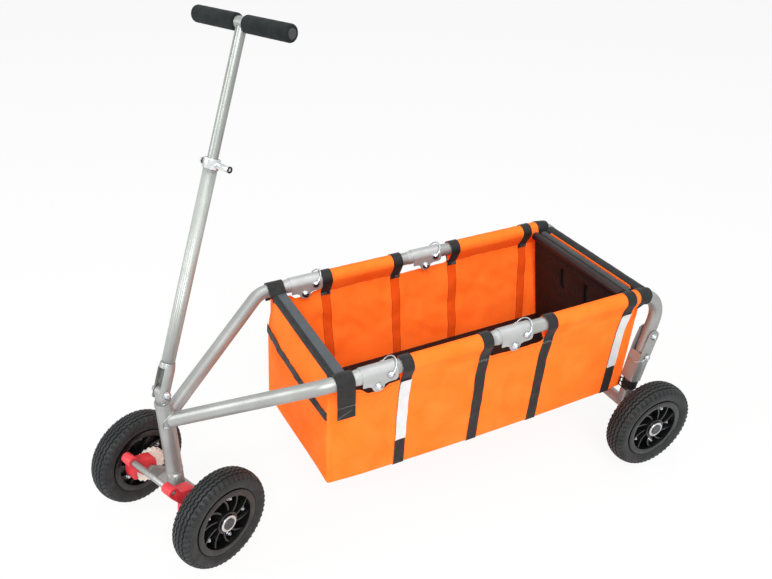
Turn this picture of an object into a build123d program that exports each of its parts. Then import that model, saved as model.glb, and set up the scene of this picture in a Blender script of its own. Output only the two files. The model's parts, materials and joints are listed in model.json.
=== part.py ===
from build123d import *
import os
from math import cos, radians, sin, tan

os.makedirs("parts", exist_ok=True)

# Sizes in millimetres. X points forward, Y to the left, Z up, and the ground is Z = 0.
front_axle_x = 459.0
rear_axle_x = -512.0
front_half_track = 129.5
rear_half_track = 257.5
steer_rest = 24.0
drawbar_lean = 23.2

# Gaps: a turning pin in its hole, a welded seat, a tube in its sleeve, and cloth round a tube.
run_gap = 0.05
weld_gap = 0.05
fit_gap = 0.4
cloth_gap = 0.6

# Rails and their folding joints.
rail_y = 177.0
rail_z = 382.0
rail_r = 14.0
rail_wall = 2.0
front_hinge_x = 112.0
mid_hinge_x = -180.0
hinge_drop = 18.5
bolt_r = 4.0
pin_r = 4.0
pin_back = 24.0
eye_r = 9.0
eye_half = 6.0
lug_length = 26.0
tube_end_back = 1.0
tube_end_ahead = 12.0

# Stamped joint sleeve: an upside-down U with a tab for the bolt and a lobe for the pin.
sleeve_ahead = 40.0
sleeve_behind = 36.0
sleeve_wall = 2.4
sleeve_skirt = 18.0
sleeve_lobe = 9.0
tab_r = 11.5
neck_length = 10.0
neck_wall = 1.6
bail_wire_r = 1.5
bail_lean = 16.0
bail_rise = 21.0

# Front arms and head tube.
arm_bend_x = 208.0
arm_bend_r = 60.0
arm_end_back = 8.0
arm_end_y = 9.5
arm_end_z = 270.0
head_r = 16.0
head_wall = 2.5
head_bottom = 146.0
head_top = 300.0
bush_flange_top = 9.0
bush_flange_bottom = 4.0
bush_flange_r = 16.8
bush_length = 18.0
stem_r = 11.0

# Rear legs: the rail bends down and meets a channel that ends on the axle.
tyre_r = 100.0
axle_z = tyre_r
leg_lean = 11.3
leg_bend_r = 60.0
leg_bolt_up = 180.0
leg_pin_down = 51.0
leg_tube_below = 68.0
channel_below = 115.0
channel_web_below = 30.0
leg_gap = 7.0
leg_bail_back = 30.0
leg_bail_drop = 14.0
leg_strap_gap = 4.0
leg_strap_w = 18.0
buckle_w = 26.0
buckle_h = 21.0
buckle_bar = 3.5
buckle_t = 2.5
cross_tube_r = 11.0
cross_tube_turn = 26.6
axle_tube_r = 12.5
axle_tube_clear = 8.5
axle_r = 7.5

# Wheels.
tyre_half = 25.0
tread_half = 20.0
rim_flange_r = 68.0
rim_seat_r = 61.0
rim_half = 22.0
rim_bed_t = 5.0
rim_inner_r = rim_seat_r - rim_bed_t
rim_hub_wall = 5.0
spoke_count = 10
spoke_w = 3.4
spoke_turn = 22.0
spoke_mid_r = 38.0
spoke_back = 12.0
spoke_out = 17.5
web_t = 4.0
web_back = 4.0
hub_r = 17.5
hub_half_in = 27.0
hub_half_out = 28.5
hub_cap_r = 12.0
hub_cap_t = 4.0

# Ratchet discs and brake.
tooth_count = 20
tooth_phase = 22.0
ratchet_r = 37.0
ratchet_root_r = 32.0
ratchet_stand = 42.5
ratchet_t = 10.0
ratchet_boss_r = 22.0
brake_pivot_fwd = 22.0
brake_pivot_up = 31.0
brake_boss_fwd = 32.5
brake_boss_up = 36.0
brake_boss_r = 10.5
pawl_neck_up = 24.0
pawl_top_up = 31.0
brake_travel = 14.0
lever_w = 25.0
lever_back = 15.0
lever_top = 20.5
lever_low = 11.0
lever_clear = 12.0
rod_r = 5.7
brake_pin_r = 4.0
beam_clear = 4.0
beam_fwd = 17.0
beam_top = 110.0
beam_bottom = 85.0
beam_wall = 2.2
bracket_t = 6.0

# Drawbar, measured along its own axis from the pivot.
pivot_z = 331.0
fork_r = 15.5
fork_slot = 9.5
fork_flare = 46.0
fork_taper = 8.0
fork_top = 60.0
fork_notch = 50.0
tongue_half = 8.0
outer_tube_r = 12.5
outer_tube_wall = 1.7
spigot_r = 12.3
inner_tube_r = 9.5
inner_tube_wall = 1.5
inner_tube_low = 310.0
collar_mid = 428.0
collar_h = 18.0
collar_r = 15.2
collar_boss_r = 5.5
collar_boss_far = 25.0
collar_boss_near = 17.0
clamp_screw_r = 5.4
clamp_screw_end = 31.0
bar_up = 665.5
bar_r = 11.0
bar_half = 113.0
grip_r = 15.0
grip_half = 117.5
grip_gap = 10.0

# Basket: fabric walls hung from the rails, with stiff boards at the ends and floor.
cloth_t = 1.8
floor_z = 132.0
floor_inset = 20.0
wall_inset = 15.4
wall_front_x = 203.0
wall_rear_x = -514.0
wall_dip = 37.0
board_t = 4.5
floor_board_t = 18.0
board_gap = 5.0
board_in = 9.0
board_low_gap = 2.5
board_top_drop = 4.0
rear_board_lean = 31.0
rear_edge_w = 20.0
rear_edge_h = 18.0
front_board_lean = 22.0
front_edge_w = 21.0
front_edge_h = 9.0
slot_y = 42.0
slot_h = 54.0
slot_w = 16.0
slot_below = 64.0
strap_w = 25.0
strap_t = 1.5
strap_slit = 12.0
strap_xs = (52.0, -112.0, -262.0, -465.0)
corner_strap_w = 35.0
corner_strap_x = 174.5
corner_strap_drop = 72.0
band_zs = (298.0, 366.0)

ground = Plane.XY
steer_dir = (cos(radians(steer_rest)), sin(radians(steer_rest)), 0)
steer_frame = Plane(origin=(front_axle_x, 0, 0), x_dir=steer_dir, z_dir=(0, 0, 1))
lean_back = sin(radians(drawbar_lean))
lean_up = cos(radians(drawbar_lean))
drawbar_frame = Plane(
    origin=(front_axle_x, 0, pivot_z),
    x_dir=(steer_dir[0] * lean_up, steer_dir[1] * lean_up, lean_back),
    z_dir=(-steer_dir[0] * lean_back, -steer_dir[1] * lean_back, lean_up),
)
leg_frame = Plane(origin=(rear_axle_x, 0, axle_z)).rotated((0, -leg_lean, 0))
leg_rise = rail_z - axle_z
leg_corner_x = rear_axle_x - leg_rise * tan(radians(leg_lean))
leg_bend_start = leg_corner_x + leg_bend_r * tan(radians(45 + leg_lean / 2))
cross_x = leg_bend_start - leg_bend_r * sin(radians(cross_tube_turn))
cross_z = rail_z - leg_bend_r * (1 - cos(radians(cross_tube_turn)))
sleeve_in = rail_r + fit_gap
sleeve_out = sleeve_in + sleeve_wall
axle_tube_half = rear_half_track - hub_half_in - axle_tube_clear
ratchet_in = front_half_track - ratchet_stand
pawl_out = ratchet_in + ratchet_t - fit_gap
lever_out = ratchet_in - lever_clear
lever_in = lever_out - lever_w
beam_half = lever_in - beam_clear
floor_half = rail_y - floor_inset
wall_top_y = rail_y - wall_inset


def side_plane(base, y=0.0):
    """A plane seen from the right: its x runs forward and its y up."""
    return Plane(base.from_local_coords((0, y, 0)), x_dir=base.x_dir, z_dir=-base.y_dir)


def cross_plane(base, x=0.0):
    """A plane across the cart: its x runs left, its y up, its normal forward."""
    return Plane(base.from_local_coords((x, 0, 0)), x_dir=base.y_dir, z_dir=base.x_dir)


def at(base, x, y, z):
    """The same axes with the origin moved in their own directions."""
    return Plane(base.from_local_coords((x, y, z)), x_dir=base.x_dir, z_dir=base.z_dir)


def rail_frame(hinge_x, side):
    return Plane(origin=(hinge_x, side * rail_y, rail_z))


def save(part, name):
    part.label = name
    export_step(part, "parts/" + name + ".step")


# Joint eye under the end of a tube that swings down out of its sleeve.
def eye_sketch(frame):
    with BuildSketch(side_plane(frame)) as eye:
        with BuildLine():
            Polyline(
                (0, -hinge_drop - eye_r),
                (-lug_length, -rail_r),
                (-lug_length, -rail_r + rail_wall * 0.8),
                (0, -rail_r + rail_wall * 0.8),
                close=True,
            )
        make_face()
        with Locations((0, -hinge_drop)):
            Circle(eye_r)
    return eye.sketch


def eye_holes(frame):
    with BuildSketch(side_plane(frame)) as holes:
        with Locations((0, -hinge_drop)):
            Circle(bolt_r + run_gap)
        with Locations((-pin_back, 0)):
            Circle(pin_r + run_gap)
    return holes.sketch


def make_mid_rail(side):
    frame = rail_frame(front_hinge_x, side)
    eye = eye_sketch(frame)
    holes = eye_holes(frame)
    length = front_hinge_x - mid_hinge_x - tube_end_back - tube_end_ahead
    with BuildPart() as rail:
        with BuildSketch(cross_plane(frame, -tube_end_back)):
            Circle(rail_r)
            Circle(rail_r - rail_wall, mode=Mode.SUBTRACT)
        extrude(amount=-length)
        extrude(eye, amount=eye_half, both=True)
        extrude(holes, amount=3 * rail_r, both=True, mode=Mode.SUBTRACT)
    return rail.part


def make_rear_rail(side):
    frame = rail_frame(mid_hinge_x, side)
    eye = eye_sketch(frame)
    holes = eye_holes(frame)
    leg_end = leg_frame.from_local_coords((0, side * rail_y, leg_bolt_up - leg_tube_below))
    with BuildPart() as rail:
        with BuildLine() as path:
            FilletPolyline(
                (mid_hinge_x - tube_end_back, side * rail_y, rail_z),
                (leg_corner_x, side * rail_y, rail_z),
                leg_end,
                radius=leg_bend_r,
            )
        with BuildSketch(cross_plane(frame, -tube_end_back)):
            Circle(rail_r)
            Circle(rail_r - rail_wall, mode=Mode.SUBTRACT)
        sweep(path=path.line)
        extrude(eye, amount=eye_half, both=True)
        extrude(holes, amount=3 * rail_r, both=True, mode=Mode.SUBTRACT)
        with BuildSketch(side_plane(leg_frame, side * rail_y)):
            with Locations((0, leg_bolt_up)):
                Circle(bolt_r + run_gap)
            with Locations((0, leg_bolt_up - leg_pin_down)):
                Circle(pin_r + run_gap)
        extrude(amount=2 * rail_r, both=True, mode=Mode.SUBTRACT)
    return rail.part


def make_front_arm(side):
    frame = rail_frame(front_hinge_x, side)
    with BuildPart() as arm:
        with BuildLine() as path:
            FilletPolyline(
                (front_hinge_x + tube_end_ahead, side * rail_y, rail_z),
                (arm_bend_x, side * rail_y, rail_z),
                (front_axle_x - arm_end_back, side * arm_end_y, arm_end_z),
                radius=arm_bend_r,
            )
        with BuildSketch(cross_plane(frame, tube_end_ahead)):
            Circle(rail_r)
            Circle(rail_r - rail_wall, mode=Mode.SUBTRACT)
        sweep(path=path.line)
        with Locations((front_axle_x, 0, arm_end_z)):
            Cylinder(head_r + weld_gap, 8 * rail_r, mode=Mode.SUBTRACT)
        with Locations((front_axle_x, -side * (3 * rail_r - weld_gap), arm_end_z)):
            Box(6 * rail_r, 6 * rail_r, 8 * rail_r, mode=Mode.SUBTRACT)
    return arm.part


# The sleeve grips the tube ahead of the bolt and stands off the one behind it, which can drop out below.
def make_sleeve(hinge_x, side):
    frame = rail_frame(hinge_x, side)
    depth = hinge_drop + tab_r
    halves = ((rail_r + weld_gap, sleeve_ahead), (sleeve_in, -sleeve_behind))
    with BuildPart() as sleeve:
        for bore, reach in halves:
            with BuildSketch(cross_plane(frame)):
                Circle(bore + sleeve_wall)
                Rectangle(2 * (bore + sleeve_wall), depth, align=(Align.CENTER, Align.MAX))
                Circle(bore, mode=Mode.SUBTRACT)
                Rectangle(2 * bore, depth, align=(Align.CENTER, Align.MAX), mode=Mode.SUBTRACT)
            extrude(amount=reach)
        with BuildSketch(cross_plane(frame, sleeve_ahead)):
            Circle(rail_r + weld_gap + neck_wall)
            Circle(rail_r + weld_gap, mode=Mode.SUBTRACT)
        extrude(amount=neck_length)
        with BuildSketch(side_plane(frame)):
            with BuildLine():
                Polyline(
                    (sleeve_ahead + neck_length, depth),
                    (sleeve_ahead + neck_length, -sleeve_skirt),
                    (-tab_r, -sleeve_skirt),
                    (-sleeve_behind, -sleeve_lobe),
                    (-sleeve_behind, depth),
                    close=True,
                )
            make_face()
            with Locations((0, -hinge_drop)):
                Circle(tab_r)
                Circle(bolt_r + run_gap, mode=Mode.SUBTRACT)
            with Locations((-pin_back, 0)):
                Circle(pin_r + run_gap, mode=Mode.SUBTRACT)
        extrude(amount=2 * depth, both=True, mode=Mode.INTERSECT)
    return sleeve.part


def make_bolt(frame, x, z, inner_half, outer_half, radius):
    """Hexagon bolt across a joint, with washers; the frame's origin is the tube's own middle."""
    with BuildPart() as bolt:
        with BuildSketch(side_plane(frame, -outer_half)):
            with Locations((x, z)):
                Circle(radius)
        extrude(amount=-2 * outer_half)
        for way in (1, -1):
            with BuildSketch(side_plane(frame, way * (inner_half + weld_gap))):
                with Locations((x, z)):
                    Circle(radius * 1.9)
            extrude(amount=-way * 1.5)
            with BuildSketch(side_plane(frame, way * (inner_half + weld_gap + 1.5))):
                with Locations((x, z)):
                    RegularPolygon(radius * 1.6, 6, rotation=30)
            extrude(amount=-way * (outer_half - inner_half - weld_gap - 1.5))
    return bolt.part


# Lock pin with a spring wire bail that hooks over the tube.
def make_lock_pin(frame, x, z, half, lean_x, lean_z):
    reach = half + 6.0
    ends = half + 3.5
    with BuildPart() as pin:
        with BuildSketch(side_plane(frame, -reach)):
            with Locations((x, z)):
                Circle(pin_r)
        extrude(amount=-2 * reach)
        for way in (1, -1):
            with BuildSketch(side_plane(frame, way * (half + fit_gap))):
                with Locations((x, z)):
                    Circle(pin_r * 1.75)
            extrude(amount=-way * (ends - half))
        with BuildLine() as bail:
            ThreePointArc(
                frame.from_local_coords((x, ends, z)),
                frame.from_local_coords((x + lean_x, 0, z + lean_z)),
                frame.from_local_coords((x, -ends, z)),
            )
        with BuildSketch(Plane(bail.line @ 0, z_dir=bail.line % 0)):
            Circle(bail_wire_r)
        sweep(path=bail.line)
    return pin.part


def make_channel(side):
    frame = at(leg_frame, 0, side * rail_y, leg_bolt_up)
    with BuildPart() as channel:
        with BuildSketch(frame.offset(-channel_below)):
            Rectangle(2 * sleeve_out, 2 * sleeve_out)
            with Locations((-sleeve_out, 0)):
                Rectangle(2 * (sleeve_out + sleeve_in), 2 * sleeve_in, mode=Mode.SUBTRACT)
        extrude(amount=channel_below + rail_r)
        with BuildSketch(side_plane(frame)):
            with BuildLine():
                Polyline(
                    (-rail_r, 0),
                    (-rail_r * 0.7, -channel_below),
                    (sleeve_out, -channel_below),
                    (sleeve_out, -channel_web_below),
                    (rail_r, 0),
                    close=True,
                )
            make_face()
            Circle(rail_r)
            Circle(bolt_r + run_gap, mode=Mode.SUBTRACT)
            with Locations((0, -leg_pin_down)):
                Circle(pin_r + run_gap, mode=Mode.SUBTRACT)
        extrude(amount=2 * sleeve_out, both=True, mode=Mode.INTERSECT)
        with BuildSketch(cross_plane(frame, sleeve_in / 2)):
            with Locations((0, -channel_web_below / 2)):
                Rectangle(2 * sleeve_in, channel_web_below + 2 * rail_r)
        extrude(amount=2 * rail_r, mode=Mode.SUBTRACT)
    return channel.part


def make_lower_leg(side):
    top = leg_bolt_up - leg_tube_below - leg_gap
    frame = at(leg_frame, 0, side * rail_y, 0)
    radius = sleeve_in - weld_gap
    with BuildPart() as leg:
        with BuildSketch(frame):
            Circle(radius)
            Circle(radius - rail_wall, mode=Mode.SUBTRACT)
        extrude(amount=top)
        with BuildSketch(side_plane(frame)):
            Circle(axle_tube_r + weld_gap)
        extrude(amount=2 * rail_r, both=True, mode=Mode.SUBTRACT)
        with BuildSketch(side_plane(frame)):
            with Locations((0, -2 * axle_tube_r)):
                Rectangle(4 * rail_r, 4 * axle_tube_r)
        extrude(amount=2 * rail_r, both=True, mode=Mode.SUBTRACT)
    return leg.part


# Webbing loop round the lower leg with a ladder buckle on its front.
def make_leg_strap(side):
    frame = at(leg_frame, 0, side * rail_y, leg_bolt_up - channel_below)
    inner = sleeve_in + fit_gap
    with BuildPart() as strap:
        with BuildSketch(frame.offset(-leg_strap_gap)):
            Circle(inner + strap_t)
            Circle(inner, mode=Mode.SUBTRACT)
        extrude(amount=-leg_strap_w)
    with BuildPart() as buckle:
        with BuildSketch(cross_plane(frame, inner + strap_t + run_gap)):
            with Locations((0, -leg_strap_gap - leg_strap_w / 2)):
                Rectangle(buckle_w, buckle_h)
                with Locations((0, buckle_bar + 1), (0, -buckle_bar - 1)):
                    Rectangle(buckle_w - 2 * buckle_bar, buckle_bar, mode=Mode.SUBTRACT)
        extrude(amount=buckle_t)
    return [strap.part, buckle.part]


# A wheel's frame has its normal along the axle, pointing away from the cart, and its x forward.
def wheel_frame(base, side, half_track, height):
    return Plane(
        base.from_local_coords((0, side * half_track, height)),
        x_dir=base.x_dir,
        z_dir=base.y_dir * side,
    )


def section_plane(frame):
    """Half section of a wheel: x is the radius and y runs outward along the axle."""
    return Plane(frame.origin, x_dir=frame.x_dir, z_dir=frame.x_dir.cross(frame.z_dir))


def make_tyre(frame):
    shoulder_r = tyre_r - 5.0
    wide_r = (shoulder_r + rim_flange_r) / 2 + 3.0
    bead = rim_half - 4.0
    with BuildPart() as tyre:
        with BuildSketch(section_plane(frame)):
            with BuildLine():
                ThreePointArc((shoulder_r, -tread_half), (tyre_r, 0), (shoulder_r, tread_half))
                ThreePointArc((shoulder_r, tread_half), (wide_r, tyre_half), (rim_flange_r + 0.5, bead))
                Polyline((rim_flange_r + 0.5, bead), (rim_seat_r + fit_gap, bead),
                         (rim_seat_r + fit_gap, -bead), (rim_flange_r + 0.5, -bead))
                ThreePointArc((rim_flange_r + 0.5, -bead), (wide_r, -tyre_half), (shoulder_r, -tread_half))
            make_face()
            with Locations((tyre_r, -8), (tyre_r, 0), (tyre_r, 8)):
                Rectangle(5, 2.4, mode=Mode.SUBTRACT)
        revolve(axis=Axis(frame.origin, frame.z_dir))
    return tyre.part


# Rim in one piece: barrel with two flanges, hub ring, a web between them and curved turbine vanes on it.
def make_rim(frame):
    bead = rim_half - 4.0 + fit_gap
    with BuildPart() as rim:
        with BuildSketch(section_plane(frame)):
            with BuildLine():
                Polyline(
                    (rim_inner_r, -rim_half), (rim_flange_r, -rim_half), (rim_flange_r, -bead),
                    (rim_seat_r, -bead), (rim_seat_r, bead), (rim_flange_r, bead),
                    (rim_flange_r, rim_half), (rim_inner_r, rim_half), close=True,
                )
            make_face()
            with Locations((hub_r + weld_gap + rim_hub_wall / 2, 0)):
                Rectangle(rim_hub_wall, 2 * rim_half)
            with Locations((hub_r + rim_hub_wall, -web_back)):
                Rectangle(rim_inner_r - hub_r, web_t, align=(Align.MIN, Align.MIN))
        revolve(axis=Axis(frame.origin, frame.z_dir))
        with BuildLine(mode=Mode.PRIVATE) as sweep_line:
            ThreePointArc(
                (hub_r + 4, 0),
                (spoke_mid_r * cos(radians(spoke_turn / 3)), spoke_mid_r * sin(radians(spoke_turn / 3))),
                ((rim_inner_r + 2) * cos(radians(spoke_turn)), (rim_inner_r + 2) * sin(radians(spoke_turn))),
            )
        with BuildSketch(frame.offset(-spoke_back)):
            with PolarLocations(0, spoke_count):
                SlotArc(sweep_line.edge(), spoke_w)
        extrude(amount=spoke_back + spoke_out)
    return rim.part


# Hub: the bearing barrel on the axle, closed by a cap outside.
def make_hub(frame):
    with BuildPart() as hub:
        with BuildSketch(frame.offset(-hub_half_in)):
            Circle(hub_r)
            Circle(axle_r + run_gap, mode=Mode.SUBTRACT)
        extrude(amount=hub_half_in + hub_half_out - hub_cap_t)
        with BuildSketch(frame.offset(hub_half_out - hub_cap_t)):
            Circle(hub_r - 1.5)
        extrude(amount=hub_cap_t * 0.5)
        with BuildSketch(frame.offset(hub_half_out - hub_cap_t * 0.5)):
            Circle(hub_cap_r)
        extrude(amount=hub_cap_t * 0.5)
    return hub.part


# Saw-tooth disc; every tooth is a long ramp and a steep face.
def make_ratchet(frame, side):
    pitch = 360.0 / tooth_count
    tip = tooth_phase - pitch
    inner = front_half_track - ratchet_in
    with BuildPart() as disc:
        with BuildSketch(side_plane(steer_frame.offset(axle_z), side * ratchet_in)):
            with BuildLine():
                points = []
                for tooth in range(tooth_count):
                    start = radians(-tip - tooth * pitch)
                    low = start - radians(pitch * 0.9)
                    points.append((ratchet_r * cos(start), ratchet_r * sin(start)))
                    points.append((ratchet_root_r * cos(low), ratchet_root_r * sin(low)))
                Polyline(*points, close=True)
            make_face()
            Circle(axle_r + 1.0, mode=Mode.SUBTRACT)
        extrude(amount=-side * ratchet_t)
        with BuildSketch(frame.offset(-inner + ratchet_t)):
            Circle(ratchet_boss_r)
            Circle(axle_r + 1.0, mode=Mode.SUBTRACT)
        extrude(amount=inner - ratchet_t - hub_half_in - weld_gap)
    return disc.part



# Brake lever: a boss for the rod, a saddle-backed body on its pivot pin, and a pawl that reaches over the disc.
# The pawl is drawn where it rests between two teeth and then swung back by the pedal's travel.
def make_lever(side):
    base = at(steer_frame, brake_pivot_fwd, 0, axle_z + brake_pivot_up)
    boss = (brake_boss_fwd, brake_boss_up)
    swing = radians(brake_travel)
    raised = Plane(
        base.origin,
        x_dir=base.x_dir * cos(swing) + base.z_dir * sin(swing),
        z_dir=base.z_dir * cos(swing) - base.x_dir * sin(swing),
    )
    reach = ratchet_r - brake_pivot_fwd
    drop = -brake_pivot_up
    with BuildPart() as lever:
        with BuildSketch(side_plane(base, side * lever_in)) as body:
            with BuildLine():
                Polyline(
                    (boss[0] - 8, boss[1] + 5), (boss[0] - 14, lever_top + 8), (boss[0] - 22, lever_top + 4),
                    (-0.3 * lever_back, lever_top), (-lever_back, lever_top - 5), (-lever_back, -6),
                    (-2, -lever_low), (boss[0] - 15, -7.5), (boss[0] + 9, boss[1] - 6), close=True,
                )
            make_face()
            fillet(body.vertices(), 2.5)
            with Locations(boss):
                Circle(brake_boss_r)
                Circle(rod_r + weld_gap, mode=Mode.SUBTRACT)
            Circle(brake_pin_r + run_gap, mode=Mode.SUBTRACT)
        extrude(amount=-side * lever_w)
        with BuildSketch(side_plane(raised, side * (lever_out - bracket_t))):
            with BuildLine():
                Polyline(
                    (ratchet_root_r + 1.2 - brake_pivot_fwd, drop), (reach - 1.5, drop + 4.7),
                    (reach + 1, drop + 12), (reach - 1, drop + pawl_neck_up), (reach + 10, drop + pawl_top_up),
                    (reach + 9, drop + 12), (reach + 5, drop), close=True,
                )
            make_face()
        extrude(amount=-side * (pawl_out - lever_out + bracket_t))
    return lever.part


# Channel beam under the head, with end brackets that hold the axle and the lever pins.
def make_beam():
    base = steer_frame.offset(axle_z)
    up = beam_top - axle_z
    down = axle_z - beam_bottom
    pivot = (brake_pivot_fwd, brake_pivot_up)
    with BuildPart() as beam:
        with BuildSketch(side_plane(base, beam_half)):
            with Locations((0, up)):
                Rectangle(2 * beam_fwd, up + down, align=(Align.CENTER, Align.MAX))
            with Locations((0, up - beam_wall)):
                Rectangle(
                    2 * (beam_fwd - beam_wall), up + down,
                    align=(Align.CENTER, Align.MAX), mode=Mode.SUBTRACT,
                )
        extrude(amount=2 * beam_half)
        for side in (1, -1):
            with BuildSketch(side_plane(base, side * beam_half)):
                with Locations(pivot):
                    Circle(2 * brake_pin_r)
                with Locations((0, up)):
                    Rectangle(2 * beam_fwd, up, align=(Align.CENTER, Align.MAX))
                make_hull()
                with Locations((0, up)):
                    Rectangle(2 * beam_fwd, up + down, align=(Align.CENTER, Align.MAX))
                Circle(axle_r + weld_gap, mode=Mode.SUBTRACT)
            extrude(amount=side * bracket_t)
            with BuildSketch(side_plane(base, side * beam_half)):
                with Locations(pivot):
                    Circle(1.75 * brake_pin_r)
            extrude(amount=-side * (lever_in - beam_half - fit_gap))
            with BuildSketch(side_plane(base, side * beam_half)):
                with Locations(pivot):
                    Circle(brake_pin_r)
            extrude(amount=-side * (lever_out - beam_half + 2.5))
            with BuildSketch(side_plane(base, side * (lever_out + fit_gap))):
                with Locations(pivot):
                    Circle(1.6 * brake_pin_r)
            extrude(amount=-side * 2.1)
    return beam.part


def make_axle(base, half, height):
    with BuildPart() as axle:
        with BuildSketch(side_plane(base.offset(height), half)):
            Circle(axle_r)
        extrude(amount=2 * half)
    return axle.part


def make_grip(side):
    base = at(drawbar_frame, 0, 0, bar_up)
    with BuildPart() as grip:
        with BuildSketch(side_plane(base, side * grip_gap)):
            Circle(grip_r)
        extrude(amount=-side * (grip_half - grip_gap))
        fillet(grip.edges(), 4.5)
        with BuildSketch(side_plane(base)):
            Circle(bar_r + weld_gap)
        extrude(amount=-side * (bar_half + weld_gap), mode=Mode.SUBTRACT)
    return grip.part


# Fabric walls lean out from the floor to the rails; each is drawn flat on its own leaning plane.
wall_top = rail_z - floor_z
tunnel_in = rail_r + cloth_gap
tunnel_out = tunnel_in + cloth_t
strap_in = tunnel_out + 0.1
cap_start = leg_bend_start + 7.0
strap_side = 0.5 * strap_w + 1.0
tunnel_spans = (
    (strap_xs[1] - strap_side, strap_xs[0] + strap_side),
    (cap_start, strap_xs[2] + strap_side),
)
strap_face = cloth_t / 2 + 0.1


def wall_plane(side):
    lean = wall_top_y - floor_half
    return Plane(
        origin=(0, side * floor_half, floor_z), x_dir=(1, 0, 0), z_dir=(0, -wall_top, side * lean)
    )


def make_side_wall(side):
    frame = Plane(origin=(0, side * rail_y, rail_z))
    low = wall_top - wall_dip
    front_low = wall_top - rail_r - 6.0
    corner = corner_strap_x - corner_strap_w / 2
    (rear_1, front_1), (rear_2, front_2) = tunnel_spans
    with BuildPart() as wall:
        with BuildSketch(wall_plane(side)):
            with BuildLine():
                Polyline(
                    (wall_front_x, 0), (wall_front_x, front_low), (corner, front_low), (corner - 7, low),
                    (front_1, low), (front_1 - 8, wall_top), (rear_1 + 8, wall_top), (rear_1, low),
                    (front_2, low), (front_2 - 8, wall_top), (rear_2 + 8, wall_top), (rear_2, low),
                    (wall_rear_x, low), (wall_rear_x, 0), close=True,
                )
            make_face()
            with Locations(*[(x, wall_top) for x in strap_xs]):
                Rectangle(strap_w + 1, 2 * strap_slit, mode=Mode.SUBTRACT)
        extrude(amount=cloth_t / 2, both=True)
        for rear, front in tunnel_spans:
            with BuildSketch(cross_plane(frame, rear)):
                Circle(tunnel_out)
                Circle(tunnel_in, mode=Mode.SUBTRACT)
            extrude(amount=front - rear)
    return wall.part


def make_hung_strap(side, x, width, ring_in, ring_t, drop):
    """A loop round the rail with its tail hanging down the outside of the wall."""
    frame = Plane(origin=(0, side * rail_y, rail_z))
    reach = rail_y - (wall_top_y + strap_face + ring_t)
    meet = ((ring_in + 0.02) ** 2 - reach**2) ** 0.5
    with BuildPart() as strap:
        with BuildSketch(cross_plane(frame, x - width / 2)):
            Circle(ring_in + ring_t)
            Circle(ring_in, mode=Mode.SUBTRACT)
        extrude(amount=width)
        with BuildSketch(wall_plane(side).offset(-side * strap_face)):
            with Locations((x, wall_top - meet)):
                Rectangle(width, drop - meet, align=(Align.CENTER, Align.MAX))
        extrude(amount=-side * ring_t)
    return strap.part


def make_board(bottom_x, lean, edge_w, edge_h, slotted):
    """Leaning end board with a grey edging along its top."""
    low = floor_z + floor_board_t + board_low_gap
    high = rail_z - board_top_drop
    top_x = bottom_x + lean
    with BuildPart() as board:
        with BuildSketch(side_plane(ground)):
            with BuildLine():
                Polyline(
                    (bottom_x - board_t / 2, low), (bottom_x + board_t / 2, low),
                    (top_x + board_t / 2, high), (top_x - board_t / 2, high), close=True,
                )
            make_face()
            with Locations((top_x, high)):
                RectangleRounded(edge_w, edge_h, 0.45 * edge_h)
        extrude(amount=end_half - board_gap, both=True)
        if slotted:
            with BuildSketch(cross_plane(ground, bottom_x - 2 * edge_w)):
                with Locations((slot_y, high - slot_below), (-slot_y, high - slot_below)):
                    SlotOverall(slot_h, slot_w, rotation=90)
            extrude(amount=abs(lean) + 4 * edge_w, mode=Mode.SUBTRACT)
    return board.part


def pair(maker, *values):
    """The left and right pieces of one kind as a group of two solids."""
    return Compound(children=[maker(1, *values), maker(-1, *values)])


save(make_rear_rail(1), "rear_rail_left")
save(make_rear_rail(-1), "rear_rail_right")
save(make_front_arm(1), "front_arm_left")
save(make_front_arm(-1), "front_arm_right")

for joint_name, hinge_x in (("front", front_hinge_x), ("mid", mid_hinge_x)):
    sleeves = []
    bolts = []
    pins = []
    for side in (1, -1):
        frame = rail_frame(hinge_x, side)
        sleeves.append(make_sleeve(hinge_x, side))
        bolts.append(make_bolt(frame, 0, -hinge_drop, sleeve_out, sleeve_out + 6.5, bolt_r))
        pins.append(make_lock_pin(frame, -pin_back, 0, sleeve_out, -bail_lean, bail_rise))
    save(Compound(children=sleeves), joint_name + "_sleeves")
    save(Compound(children=bolts), joint_name + "_pivot_bolts")
    save(Compound(children=pins), joint_name + "_lock_pins")

leg_bolts = []
leg_pins = []
for side in (1, -1):
    leg_middle = at(leg_frame, 0, side * rail_y, 0)
    leg_bolts.append(make_bolt(leg_middle, 0, leg_bolt_up, sleeve_out, sleeve_out + 6.5, bolt_r))
    pin_up = leg_bolt_up - leg_pin_down
    leg_pins.append(make_lock_pin(leg_middle, 0, pin_up, sleeve_out, -leg_bail_back, -leg_bail_drop))
save(Compound(children=leg_bolts), "leg_pivot_bolts")
save(Compound(children=leg_pins), "leg_lock_pins")
save(pair(make_mid_rail), "mid_rails")
save(pair(make_channel), "leg_channels")
save(pair(make_lower_leg), "lower_legs")
save(Compound(children=make_leg_strap(1) + make_leg_strap(-1)), "leg_straps")

cross_frame = Plane(origin=(cross_x, 0, cross_z))
cross_half = rail_y - rail_r - weld_gap
with BuildPart() as rear_cross_tube:
    with BuildSketch(side_plane(cross_frame, cross_half)):
        Circle(cross_tube_r)
        Circle(cross_tube_r - rail_wall, mode=Mode.SUBTRACT)
    extrude(amount=2 * cross_half)
save(rear_cross_tube.part, "rear_cross_tube")

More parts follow.
